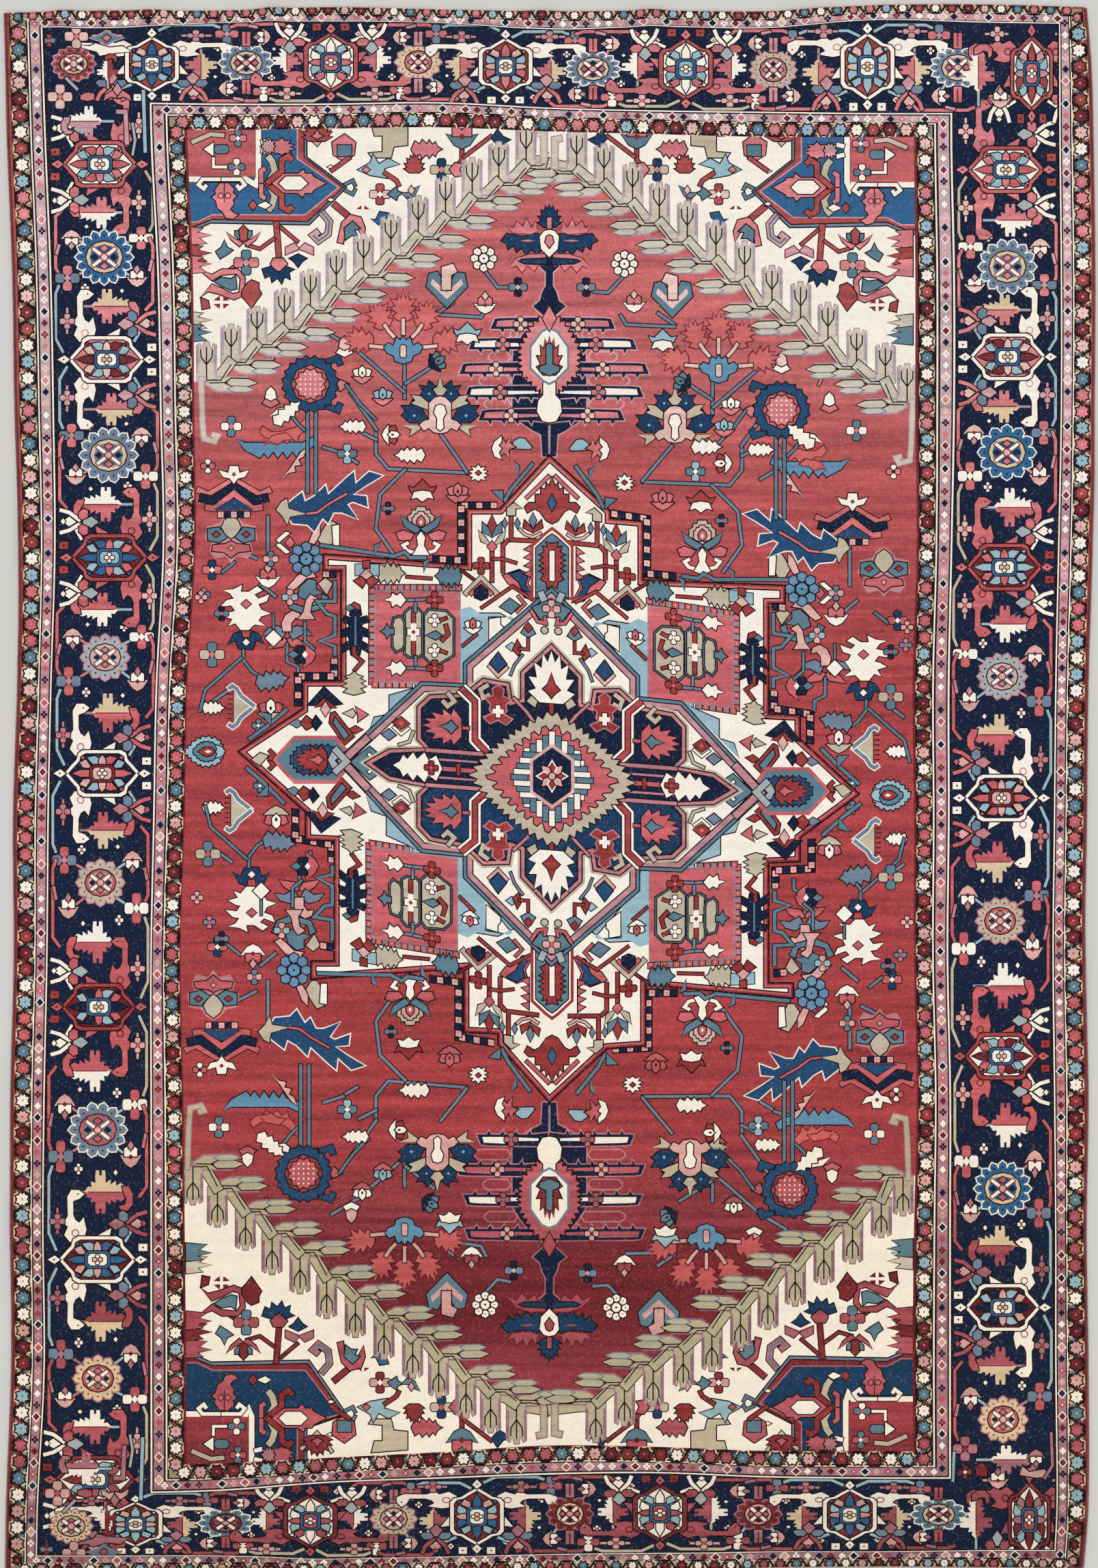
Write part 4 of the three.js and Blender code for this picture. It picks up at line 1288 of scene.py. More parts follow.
def grandPalmette(c):   # navy lobes and camel tips over a pink bell
    for sx in (-1, 1):
        c.side(sx).form("8,-7 22,-7 28,-2 25,1 28,5 22,5 20,9 14,4", "deepBlue")
        c.side(sx).form("8,2 21,7 18,9 21,13 14,12 12,16 7,9", "camel")
        c.side(sx).form("1,10 8,8 14,13 12,16 15,20 9,19 8,23 3,19", "deepBlue")
        c.side(sx).form("12,-9 28,-9 21,-12 22,-17 15,-12", "camel")
        c.gem(sx * 19, -2, 1.2, 1.2, "sky", line="")
        c.gem(sx * 8, 14, 1, 1, "sky", line="")
    c.form(mirrored("0,-15 -5,-14 -8,-11 -12,-13 -15,-9 -12,-6 -8,-5 -8,7 -4,11 0,12"), "pink")
    c.form(mirrored("0,-13 -2.4,-11 -2,-4 -4.4,0 -3,5 0,6"), "ivory")
    c.form("-5,17 -2,19 0,27 2,19 5,17 2,13 -2,13", "camel")


def seaLeaf(c):   # the big toothed leaf that sweeps out from its calyx
    c.form("-2,2 2,8 11,15 13,8 20,12 28,20 30,13 44,26 49,30 50,21 60,30 70,27 58,20 48,13 58,12 59,4 "
        "48,8 44,6 52,-5 40,0 34,0 30,-8 26,-4 20,-14 15,-9 4,-8", "sea", line="ivory")
    c.band("14,-1 22,0 30,6 44,14", 1.6, "coral")
    c.form("-8,2 -4,8 0,10 1,3 14,-1 2,-3 0,-9 -3,-3", "camel")


def roof(c):   # a dark gable between coral chevrons, a winged flower on it and five checks below
    c.band("-27,7 -19,3 0,14 19,3 27,7", 4, "coral")
    c.band("-25,1 -16,-1 0,9 16,-1 25,1", 5.6, "navy")
    c.band("-21,-6 -14,-7 0,4 14,-7 21,-6", 4, "coral")
    c.form("-14,-8 0,0 14,-8", "sea")
    c.form(mirrored("0,11 -3,15 -8,16 -11,21 -4,19 -3,24 0,24"), "ivory")
    c.gem(0, 18, 1.2, 1.2, "brick", edge=0.4)
    check(c, [(-12, -11.5), (12, -11.5)], 4.8)


def tassel(c, dye="ivory", second="coral"):   # a small bud on two leaves
    c.form("-6,-3 0,-6 6,-3 3,1 -3,1", second)
    c.form(mirrored("0,-1 -4,1 -3,6 0,9"), dye)


def bell(c, dye="ivory", second="steel"):
    c.form(mirrored("0,-3 -8,-1 -10,3 -6,2 0,8"), second)
    c.form(mirrored("0,-8 -4,-5 -8,-6 -6,-1 0,0"), dye)


def triangle(c, dye="camel"):   # a camel triangle between two scrolled bands, with a zigzag at its foot
    c.form("-7,11 -7,-12 6,0", dye)
    for sy in (-1, 1):
        c.side(1, sy).band("-11,13 -8,15 -5,13 -2,8 8,0", 2.8, "slate", line="ivory")
    for i in range(6):
        c.within(0, -9, 0, 1, i).band("-8,3.6 -12,3.6", 0.8, "ink", line="")


def fieldStems(c):
    rows = ["-60,231 -118,234 -127,245 -127,262", "-105,234 -124,215 -127,190 -113,170",
        "-106,285 -106,312", "-106,290 -140,320 -160,332", "-106,296 -84,310",
        "-80,260 -66,240 -60,231", "-150,244 -140,238",
        "-150,245 -166,250", "-82,348 -70,356", "-82,347 -50,345 -46,352", "-48,380 -38,367 -28,367",
        "-206,160 -206,200", "-212,150 -200,140", "-246,64 -232,74", "-230,176 -214,168",
        "-126,262 -146,290", "-126,255 -140,262"]
    for (sx, sy), (dx, dy) in zip(signs, at("0,0 14,-12 0,18 14,8")):
        for row in rows:
            line = []
            for x, y in at(row):   # the stems drift with the flowers, the most near the sides
                far = min(abs(x) / 110, 1)
                line.append((x - dx * far, y + (dy * far if sy > 0 else -dy * min(abs(x) / 90, 1.1))))
            c.side(sx, sy).band(line, 2, "slate")


def fieldFlowers(c):
    q = quarters
    q(c, "-240,27 238,-5 -240,27 238,-5", turned(90, palmette), 10, 26, "sky", "steel", "brick", "ivory")
    q(c, "-224,60 230,30 -226,-16 231,-38", triangle)
    q(c, "-246,59 254,27 -246,-14 254,-37", turned(-90, fir), 16, "ivory")
    q(c, "-222,132 230,95 -218,-88 226,-112", clawed)
    q(c, "-203,79 210,49 -198,-39 224,-64", turned(-80, fir), 24, "slate")
    q(c, "-204,56 212,33 -200,-20 205,-42", bloom, 9, "ivory", "coral", "camel")
    q(c, "-247,98 250,67 -250,-48 250,-65", cross4, 9, "camel", "coral", "steel")
    q(c, "-192,115 202,90 -183,-80 187,-100", lily)
    q(c, "-178,98 180,75 -176,-57 187,-80", turned(90, lotus), 1.7, "coral", "navy", "ivory", "steel")
    q(c, "-206,153 210,125 -217,-120 218,-150", lotus, 1.5, "ivory", "coral", "wine", "pink")
    q(c, "-204,168 210,143 -216,-138 218,-172", cross4, 5.4, "pink", "coral", "steel")
    q(c, "-233,182 245,157 -246,-150 242,-178", grandLily)
    q(c, "-178,168 185,146 -187,-133 192,-150", besideStar)
    q(c, "-178,168 185,146 -187,-133 192,-150", star8, 13, "azure")
    q(c, "-231,212 222,192 -240,-185 240,-210", roof)
    q(c, "-192,202 212,174 -205,-176 213,-198", seaLeaf)
    q(c, "-203,249 194,235 -213,-229 198,-242", combBar)
    q(c, "-190,237 181,223 -197,-220 190,-231", serrated)
    q(c, "-175,296 170,277 -180,-282 176,-294", crown)
    q(c, "-175,296 170,277 -180,-282 176,-294", blossomRing)
    q(c, "-192,275 184,258 -204,-261 190,-272", turned(-50, fir), 25, "ivory", "", 0.22)
    q(c, "-204,285 205,281 -221,-268 207,-280", tassel, "ivory", "coral")
    q(c, "-233,265 225,262 -242,-248 238,-253", cross4, 7.4, "ivory", "coral", "steel")
    q(c, "-150,322 170,310 -145,-309 150,-327", tassel, "pink", "ivory")
    q(c, "-137,302 133,279 -137,-294 135,-304", bloom, 7, "ivory", "ivory", "coral")
    q(c, "-122,286 128,263 -122,-280 122,-260", bloom, 7, "sky", "sky", "coral")
    q(c, "-144,265 155,248 -142,-255 160,-261", turned(90, fir), 19, "ivory", "", 0.26)
    q(c, "-148,245 107,232 -148,-235 153,-247", cross4, 7, "steel", "ivory", "sky")
    q(c, "-107,322 124,308 -106,-325 115,-330", fan)
    q(c, "-80,275 92,268 -82,-268 103,-272", grandPalmette)
    q(c, "-48,388 55,384 -47,-378 49,-380", star8, 10)
    q(c, "-75,365 90,358 -75,-368 80,-381", chevron, 15, 24, "steel", "pink", "pink")
    q(c, "-47,353 62,354 -57,-341 55,-347", lotus, 1.35, "ivory", "coral", "wine", "pink")
    q(c, "-60,333 83,328 -73,-318 85,-328", bell, "ivory", "sky")
    q(c, "-23,367 27,367 -26,-353 28,-355", cross4, 6.6, "slate", "pink", "navy")
    q(c, "-83,312 98,297 -88,-303 88,-313", turned(-60, bloom), 7, "steel", "steel", "navy")
    q(c, "-38,250 40,249 -36,-235 39,-237", leafClaw)
    q(c, "-52,231 55,224 -52,-210 61,-217", blob, 6, 6, "ivory", "brick")
    q(c, "-93,218 111,210 -103,-190 104,-200", bell, "ivory", "brick")
    q(c, "-67,215 83,210 -73,-195 78,-200", bloom, 8, "coral", "coral", "coral")
    q(c, "-94,188 112,178 -102,-155 112,-170", palmette, 9, 18, "camel", "pink", "coral", "ivory")
    q(c, "-94,186 112,174 -102,-153 112,-168", underPalmette)
    q(c, "-102,244 115,250 -99,-221 104,-232", turned(90, fir), 22, "ivory", "", 0.26)
    q(c, "-117,259 128,238 -112,-250 120,-252", turned(-90, bloom), 7, "ivory", "brick", "ivory")
    q(c, "-240,128 250,100 -240,-110 248,-130", cross4, 5, "steel", "coral", "navy")
    q(c, "-190,140 196,112 -196,-104 200,-128", cross4, 5.6, "sky", "coral", "pink")
    q(c, "-250,236 252,232 -256,-206 254,-224", cross4, 5, "coral", "navy", "ivory")
    q(c, "-213,46 222,4 -212,2 222,-14", cross4, 4.6, "steel", "ivory")
    q(c, "-255,140 262,118 -258,-80 262,-98", cross4, 4.4, "pink", "brick")
    q(c, "-118,205 126,196 -116,-178 130,-190", cross4, 4.4, "steel", "coral", "navy")


def grandLily(c):   # four broad lobes in a pale line
    c.form(mirrored("0,20 -5,17 -9,12 -18,10 -19,0 -14,-2 -16,-8 -12,-14 -4,-12 0,-17"), "rose", line="",
        edge=0)
    c.form(mirrored("0,18 -5,14 -7,9 -4,4 0,1"), "camel")
    for sx in (-1, 1):
        c.side(sx).form("3,2 9,9 17,8 17,0 9,-2", "steel")
        c.gem(sx * 11, 4, 2.6, 2, "brick")
    c.form(mirrored("0,-1 -4,-3 -13,-4 -14,-8 -5,-9 0,-13"), "coral")
    c.gem(0, -6, 1.6, 1.6, "camel", line="wine")


def combBar(c):   # a bent bar with a comb of teeth under it
    c.form("-26,7 -20,4 22,4 30,8 32,3 26,-1 20,-2 18,-6 15,-2 11,-7 8,-2 4,-7 1,-2 -3,-7 -6,-3 -9,-7 "
        "-20,-1", "azure")


def flare(c, w, h, dye, heart=""):   # a fan of long pointed teeth over its foot
    c.side(w, h).form(mirrored("0,0 -.5,0 -1,.2 -.66,.26 -.98,.48 -.62,.47 -.74,.76 -.42,.66 -.36,.94 "
        "-.16,.78 0,1"), dye)
    if heart:
        c.side(w, h).form(mirrored("0,.1 -.14,.18 -.36,.26 -.14,.36 0,.58"), heart)


def tealStep(c, line, spurs=()):   # a stepped line of teal along the edge, with pointed spurs
    c.band(line, 2.4, "steel")
    for x, y, dx, dy in spurs:
        c.form([(x, y - 4), (x + dx, y + dy), (x, y + 4)], "steel")


def crossQuarter(c):   # what stands on one quarter of the cross, drawn for the far left one
    tealStep(c, at("-90,169 -102,169 -106,173 -114,170 -140,174 -168,178"),
        [(-92, 162, 4, 6), (-128, 174, 4, 6)])
    tealStep(c, at("-157,152 -157,137 -170,137 -163,128 -157,126 -157,112 -168,108 -157,104 -157,97"))
    tealStep(c, [(-192, 58), (-206, 46), (-220, 36)], [(-204, 50, -8, 6)])
    tealStep(c, [(-12, 238), (-28, 219), (-33, 210)], [(-22, 232, -4, 8), (-34, 214, -8, 4)])
    coralPanel(c)
    fir(c.within(-116, 157.5, -90), 20, "camel", "", 0.4)
    c.band("-105,155 -86,153.6", 1.8, "brick")
    fir(c.within(-74, 155.5, 90), 19, "steel", "", 0.42)
    for x in (-139, -128):
        c.block(x, 160, 3, 4, "sky")
    c.block(-134, 164, 2.4, 2.6, "brick")
    c.gem(-134, 156, 4.6, 4.6, "pink")
    for sx in (-1, 1):
        c.within(-134, 0, 0, sx).form("0,152 4,155 9,152 3,147", "brick")
    c.form("-147,132 -143,136 -139,134 -138,128 -142,129", "brick")
    c.gem(-146, 132, 3, 2.4, "steel")
    beetle(c.within(-142, 114))
    c.band("-143,104 -143,98 -137,93 -143,86", 2.2, "brick")
    fir(c.within(-143, 77), 17, "camel", "", 0.5)
    c.form("-151,55 -144,58 -142,55 -144,52", "camel")
    c.form("-142,60 -133,54 -140,49 -140,54", "coral")
    c.gem(-142, 43, 5, 2.8, "brick")
    c.form("-177,61 -165,74 -152,62 -158,61 -165,67 -171,61", "navy")
    c.form("-172,59 -165,66 -156,59 -162,59 -166,61", "brick")
    c.gem(-164, 58, 3.4, 5.4, "pink")
    c.gem(-185, 47.5, 5, 3, "slate")
    c.form("-182,48 -178,53 -174,50 -174,45 -178,43", "brick")
    c.form("-174,48 -171,53 -167,48 -171,43", "navy")
    c.form("-161,48 -160,55 -157,56 -143,38 -150,32", "brick")
    c.form("-158,48 -157,52 -147,39 -150,36", "steel")
    # the far arm
    c.band("-28,199 -28,182 -6,181", 2.4, "brick")
    c.band("-30,182 -34,178 -34,158", 2.4, "brick")
    c.form("-31,200 -31,205 -26,209 -20,205 -25,205 -25,200", "camel")
    for sx in (-1, 1):
        c.gem(-28 + sx * 4.6, 194, 1.8, 3.6, "slate")
        c.within(-12, 0, 0, sx).form("0,187 7,191 6,196 2,192", "brick")
        c.within(-42, 0, 0, sx).form("0,184 7,188 7,195 2,190", "steel")
        c.within(-42, 0, 0, sx).form("0,177 5,184 10,189 8,181", "camel")
    c.gem(-12, 196, 2.6, 5.4, "slate")
    c.band("-22,190 -18,186 -12,184 -6,187", 1.6, "pink")
    c.gem(-42, 193, 3, 7, "brick")
    c.gem(-42, 177, 3.4, 4, "coral")
    c.band("-42,173 -42,151", 2.4, "brick")
    c.band("-42,168 -34,168 -24,165", 1.8, "brick")
    cross4(c.within(-50, 163), 6, "brick", "brick")
    c.band("-65,160 -54,152", 1.6, "wine")
    c.band("-62,142 -50,154 -38,142", 3.4, "camel")
    c.band("-58,142 -50,149.6 -42,142", 2.8, "coral")
    c.form("-50,149 -54.6,145 -54.6,140 -50,138 -45.4,140 -45.4,145", "navy")
    c.form("-34,156 -22,160 -14,156 -16,150 -10,138 -18,140 -24,148 -30,150", "coral")
    c.form("-29,157 -22,159 -16,155 -18,149 -12,141 -20,146 -22,151", "sea")
    c.band("-50,132 -27,148 -12,138", 1.8, "brick")
    c.form("-36,133 -29,139 -22,134 -28,128", "steel")
    c.band("-23,141 -18,135 -24,129", 1.8, "coral")
    for i in range(4):
        c.form([(-13, 178 - i * 6), (-18, 175 - i * 6), (-13, 173 - i * 6)], "coral")


# how each quarter of the cross drifted
cornersShift = [(0, 0, 1, 1, 0), (7, 0, -1, 1, -0.15), (-2, 14, 1, -1, -0.17), (8, 14, -1, -1, 0.05)]


def clawed(c):   # the pale leaf with hooked claws and a red eye
    c.form("-4,-16 -8,-11 -13,-13 -10,-8 -17,-6 -12,-3 -8,-2 -11,2 -19,1 -14,6 -9,7 -12,11 -17,13 -9,14 "
        "-3,17 -4,12 2,12 8,16 12,13 6,10 9,7 17,10 15,5 9,3 11,-1 18,-4 11,-6 9,-9 14,-13 6,-12 2,-16",
        "ivory")
    c.gem(0, 3, 3.4, 3, "coral")
    # round about it: a dark calyx below, a small flower far left, stars and leaves to the right
    c.form("-14,-27 -9,-19 -4,-17 -3,-22 3,-22 4,-17 9,-19 13,-26 7,-23 5,-30 -5,-30 -8,-23", "deepBlue")
    c.gem(0, -25, 2.6, 2.6, "ivory")
    c.band("-2,-30 -2,-38 4,-46 10,-50", 1.8, "steel")
    c.band("-3,-36 -30,-60 -34,-76", 1.8, "steel")
    cross4(c.within(-25, 28), 7, "coral", "ivory", "deepBlue")
    c.band("-18,26 -8,34", 1.8, "steel")
    for sy in (-1, 1):
        c.within(0, 48, 0, 1, sy).form("24,0 32,7 29,8 22,2", "ivory")
    c.gem(32, 48, 3.4, 4, "coral")
    cross4(c.within(-31, 10), 4.4, "slate", "coral", "rose")


def besideStar(c):   # leaves and stems about the pale six-lobed flower
    c.form("13,8 9,14 11,19 14,24 17,28 22,26 19,22 19,12 17,8", "camel")
    c.form("20,10 19,24 24,25 24,10", "ivory")
    c.form("2,12 6,22 10,26 10,18 6,11", "pink")
    c.form("-14,-21 -6,-12 4,-9 7,-13 0,-14 -6,-20 -10,-23", "pink")
    c.form("-6,-27 -4,-20 2,-15 7,-16 7,-22 12,-25 4,-27 2,-31", "steel")
    c.form("9,-18 14,-14 19,-18 15,-26 12,-22", "camel")
    c.gem(7, -33, 2.4, 1.8, "rose")
    c.form("-2,-40 -12,-36 -16,-28 -12,-26 -10,-33 0,-36 10,-33 12,-26 16,-28 12,-36", "steel")
    c.form("-6,-44 -2,-39 0,-30 3,-26 8,-29 4,-32 3,-39 6,-44", "pink")
    c.band("-1,-46 -1,-60 6,-66", 1.8, "steel")
    c.band("-24,-40 -24,-60", 1.4, "steel")
    c.form("-30,-58 -24,-52 -18,-58 -24,-64", "ivory")


def underPalmette(c):   # dark leaves, a vase and scrolls below the camel fan
    for sx in (-1, 1):
        c.side(sx).form("0,4 7,8 15,14 12,6 4,1", "steel")
        c.side(sx).form("5,0 13,3 18,1 16,-4 8,-4", "coral")
        c.side(sx).band("2,-14 10,-12 13,-8 9,-6", 2.4, "ivory")
    c.form(mirrored("0,2 -3,-2 -2,-8 -6,-15 0,-17"), "ivory")


def crown(c):   # the pair of stems and leaves under the toothed crown
    for x in (-2, 4):
        c.within(x, 0).band("0,-18 0,-80", 2.2, "steel")
    c.band("-16,-20 -10,-28 -4,-34", 1.8, "steel")
    c.band("-27,18 -30,24", 1.6, "coral")
    c.form("-35,-46 -28,-38 -18,-36 -13,-40 -20,-41 -24,-44 -30,-42", "blush", line="wine")
    c.form("-30,-24 -24,-18 -12,-16 -3,-8 -6,-16 -14,-22 -20,-21", "ivory")
    c.form("16,-2 22,3 28,0 22,-5", "coral")
    c.band("26,0 36,-14 48,-26", 1.8, "steel")


def serrated(c):   # a hanging leaf with saw teeth on one edge
    c.form("12,12 10,6 6,4 8,0 3,-1 4,-5 -1,-6 -7,-12 0,-3 4,3 8,9", "pink")
    c.form("-20,28 -14,24 -6,24 4,27 12,34 13,30 10,25 6,21 5,17 1,20 -2,16 -6,19 -10,16 -13,20 -18,20 "
        "-22,24", "blush", line="wine")


def lily(c):   # one tall pale petal between drooping leaves, on a stem
    c.band("0,-6 0,-22 8,-26 8,-34", 1.8, "steel")
    for sx in (-1, 1):
        c.side(sx).form("0,-6 5,-4 11,-8 15,-13 9,-12 3,-11", "coral")
        c.side(sx).form("1,0 7,4 14,2 18,-3 11,-2 4,-6", "slate")
    c.form("-3,0 -4,6 -1,12 4,15 9,13 10,9 6,10 3,6 3,0", "pink")


def lens(rx, ry, teeth, depth, square=1):   # a rounded diamond with radial teeth, pointed or square
    points = []
    for i in range(teeth * 2 * square):
        a = math.pi * i / teeth / square
        roundness = (abs(math.cos(a)) ** 1.25 + abs(math.sin(a)) ** 1.25) ** 0.8
        reach = (1 if i // square % 2 == 0 else 1 - depth) / roundness
        points.append((rx * reach * math.cos(a), ry * reach * math.sin(a)))
    return points


def field():
    c = Chart("red")
    fieldStems(c)
    farArms = [(340, 43, 48, 23), (325, 59, 64, 36), (307, 66, 73, 41), (290, 62, 69, 38), (273, 52, 55, 30)]
    nearArms = [(326, 62, 70, 33), (301, 63, 68, 36), (279, 69, 70, 40), (257, 53, 62, 30)]
    pendant(c, 245, 268, (298, 335), farArms, (345, 384), 400)
    pendant(c.side(1, -1), 232, 255, (280, 320), nearArms, (335, 376), 392)
    fieldFlowers(c)
    for number, (sx, sy) in enumerate(signs):
        cornerPiece(c.side(sx, sy), number)
    crossGround(c)
    crossFlowers(c)
    medallion(c)
    return c


def newObject(name, data):   # an object in the scene, unturned at the origin
    thing = bpy.data.objects.new(name, data)
    bpy.context.scene.collection.objects.link(thing)
    return thing


def newMaterial(name, roughness):   # a material, its nodes and its shader
    material = bpy.data.materials.new(name)
    material.use_nodes = True
    surface = material.node_tree.nodes["Principled BSDF"]
    surface.inputs["Roughness"].default_value = roughness
    return material, material.node_tree, surface


# One node with its settings, values and links; a node given as a value stands for its first output
def addNode(tree, kind, links=None, **settings):
    node = tree.nodes.new(kind)
    for key, value in settings.items():
        setattr(node, key, value)
    for socket, value in (links or {}).items():
        if isinstance(value, bpy.types.Node):
            value = value.outputs[0]
        if isinstance(value, bpy.types.NodeSocket):
            tree.links.new(value, node.inputs[socket])
        else:
            node.inputs[socket].default_value = value
    return node


# Worn wool pile: matt, a little uneven from knot to knot, its reds streaked where the dye lots changed
pile = {
    "roughness": 0.94,
    "knotGrain": 0.15,       # how much lighter or darker one knot is than the next
    "streak": 0.36,          # strength of the streaks across the rug
    "bump": 0.35,
    "ramp": [                # place along the rug in metres, then what the red is there
        (-2.00, "#722d33"), (-1.80, "#803338"), (-1.62, "#97393e"), (-1.50, "#84323a"),
        (-1.40, "#6d2429"), (-1.24, "#70262b"), (-1.12, "#87353b"), (-1.02, "#973b3f"),
        (-0.90, "#9e3c3f"), (-0.60, "#a23e40"), (-0.20, "#a54145"), (0.30, "#a84548"), (0.60, "#ad4c4f"),
        (0.90, "#b35657"), (1.05, "#ba6263"), (1.35, "#bd6365"), (1.60, "#bd6163"), (1.75, "#b05a5d"),
        (1.95, "#a85458"),
    ],
}


def woolPile():
    material, tree, surface = newMaterial("knotted wool pile", pile["roughness"])
    surface.inputs["Specular IOR Level"].default_value = 0.06
    surface.inputs["Sheen Weight"].default_value = 0.03
    surface.inputs["Sheen Roughness"].default_value = 0.6
    place = addNode(tree, "ShaderNodeTexCoord").outputs["Object"]
    dye = addNode(tree, "ShaderNodeAttribute", attribute_name="dye")
    parts = addNode(tree, "ShaderNodeSeparateXYZ", {0: place})
    # Dye lots: the ramp runs along the rug, shaken by long streaks across it
    long = addNode(tree, "ShaderNodeMapping", {"Vector": place, "Scale": (1.6, 34, 1)})
    streaks = addNode(tree, "ShaderNodeTexNoise", {"Vector": long, "Scale": 1.0, "Detail": 4.0,
        "Roughness": 0.65})
    shaken = addNode(tree, "ShaderNodeMath", {0: streaks.outputs["Fac"], 1: 0.12, 2: -0.06},
        operation="MULTIPLY_ADD")
    along = addNode(tree, "ShaderNodeMath", {0: parts.outputs["Y"], 1: shaken}, operation="ADD")
    spot = addNode(tree, "ShaderNodeMapRange", {"Value": along, "From Min": -2.1, "From Max": 2.1})
    ramp = addNode(tree, "ShaderNodeValToRGB", {0: spot})
    base = linear(dyes["red"][0])
    stops = ramp.color_ramp.elements
    stops.remove(stops[1])
    for i, (y, code) in enumerate(pile["ramp"]):
        stop = stops.new((y + 2.1) / 4.2) if i else stops[0]
        stop.position = (y + 2.1) / 4.2
        stop.color = [c / b / 2 for c, b in zip(linear(code), base)] + [1]
    tint = addNode(tree, "ShaderNodeVectorMath", {0: ramp, 1: (2, 2, 2)}, operation="MULTIPLY")
    streakTone = addNode(tree, "ShaderNodeMapRange", {"Value": streaks.outputs["Fac"], "From Min": 0.3,
        "From Max": 0.7, "To Min": 1 - pile["streak"], "To Max": 1 + pile["streak"]})
    reds = addNode(tree, "ShaderNodeMapRange", {"Value": dye.outputs["Alpha"], "From Min": 0.5})
    # The undyed wool yellows towards the far end
    far = addNode(tree, "ShaderNodeMapRange", {"Value": along, "From Min": -1.0, "From Max": -0.5,
        "To Min": 1.0, "To Max": 0.0})
    aged = addNode(tree, "ShaderNodeMix", {"Factor": far, 4: (1, 1, 1), 5: (0.98, 0.94, 0.86)},
        data_type="VECTOR")
    lot = addNode(tree, "ShaderNodeMix", {"Factor": reds, 4: aged.outputs[1], 5: tint}, data_type="VECTOR")
    streak = addNode(tree, "ShaderNodeMix", {"Factor": dye.outputs["Alpha"], 2: 1.0, 3: streakTone})
    tinted = addNode(tree, "ShaderNodeVectorMath", {0: lot.outputs[1]}, operation="SCALE")
    tree.links.new(streak.outputs[0], tinted.inputs["Scale"])
    coloured = addNode(tree, "ShaderNodeVectorMath", {0: dye.outputs["Color"], 1: tinted},
        operation="MULTIPLY")
    # Each knot is its own cell of yarn
    knots = addNode(tree, "ShaderNodeTexVoronoi", {"Vector": place, "Scale": 1 / knot})
    cell = addNode(tree, "ShaderNodeSeparateXYZ", {0: knots.outputs["Color"]})
    cloud = addNode(tree, "ShaderNodeTexNoise", {"Vector": place, "Scale": 45.0, "Detail": 6.0,
        "Roughness": 0.7})
    grain = addNode(tree, "ShaderNodeMapRange", {"Value": cell.outputs["X"],
        "To Min": 1 - pile["knotGrain"], "To Max": 1 + pile["knotGrain"]})
    wear = addNode(tree, "ShaderNodeMapRange", {"Value": cloud.outputs["Fac"], "From Min": 0.3,
        "From Max": 0.7, "To Min": 0.86, "To Max": 1.12})
    rough = addNode(tree, "ShaderNodeMath", {0: grain, 1: wear}, operation="MULTIPLY")
    # undyed wool is the most even
    soft = addNode(tree, "ShaderNodeMapRange", {"Value": dye.outputs["Alpha"], "To Min": 0.3})
    tone = addNode(tree, "ShaderNodeMix", {"Factor": soft, 2: 1.0, 3: rough})
    # The border of the far end is the most soiled
    soil = addNode(tree, "ShaderNodeMapRange", {"Value": along, "From Min": -1.9, "From Max": -1.7,
        "To Min": 0.85})
    soiled = addNode(tree, "ShaderNodeMath", {0: tone, 1: soil}, operation="MULTIPLY")
    final = addNode(tree, "ShaderNodeVectorMath", {0: coloured}, operation="SCALE")
    tree.links.new(soiled.outputs[0], final.inputs["Scale"])
    # Low pile shows the pale foundation as fine specks
    speck = addNode(tree, "ShaderNodeMapRange", {"Value": cell.outputs["Y"], "From Min": 0.9,
        "From Max": 0.97, "To Max": 0.1})
    worn = addNode(tree, "ShaderNodeMix", {"Factor": speck, 6: final, 7: (0.62, 0.5, 0.45, 1)},
        data_type="RGBA")
    tree.links.new(worn.outputs[2], surface.inputs["Base Color"])
    height = addNode(tree, "ShaderNodeMath", {0: knots.outputs["Distance"], 1: cloud.outputs["Fac"]},
        operation="ADD")
    bump = addNode(tree, "ShaderNodeBump", {"Height": height, "Strength": pile["bump"], "Distance": 0.001})
    tree.links.new(bump.outputs[0], surface.inputs["Normal"])
    return material


def yarn(name, code, shade, pitch):   # spun yarn: soft, matt, with its twist as fine ridges
    material, tree, surface = newMaterial(name, 0.92)
    surface.inputs["Specular IOR Level"].default_value = 0.15
    surface.inputs["Sheen Weight"].default_value = 0.15
    place = addNode(tree, "ShaderNodeTexCoord").outputs["Object"]
    noise = addNode(tree, "ShaderNodeTexNoise", {"Vector": place, "Scale": 12.0, "Detail": 8.0,
        "Roughness": 0.75})
    spread = addNode(tree, "ShaderNodeMapRange", {"Value": noise.outputs["Fac"], "From Min": 0.35,
        "From Max": 0.65})
    mix = addNode(tree, "ShaderNodeMix", {"Factor": spread, 6: linear(code) + [1],
        7: linear(shade) + [1]}, data_type="RGBA")
    tree.links.new(mix.outputs[2], surface.inputs["Base Color"])
    twist = addNode(tree, "ShaderNodeTexWave", {"Vector": place, "Scale": 0.31 / pitch, "Distortion": 3.0,
        "Detail": 2.0}, bands_direction="DIAGONAL")
    bump = addNode(tree, "ShaderNodeBump", {"Height": twist.outputs["Fac"], "Strength": 0.5,
        "Distance": 0.0006})
    tree.links.new(bump.outputs[0], surface.inputs["Normal"])
    return material


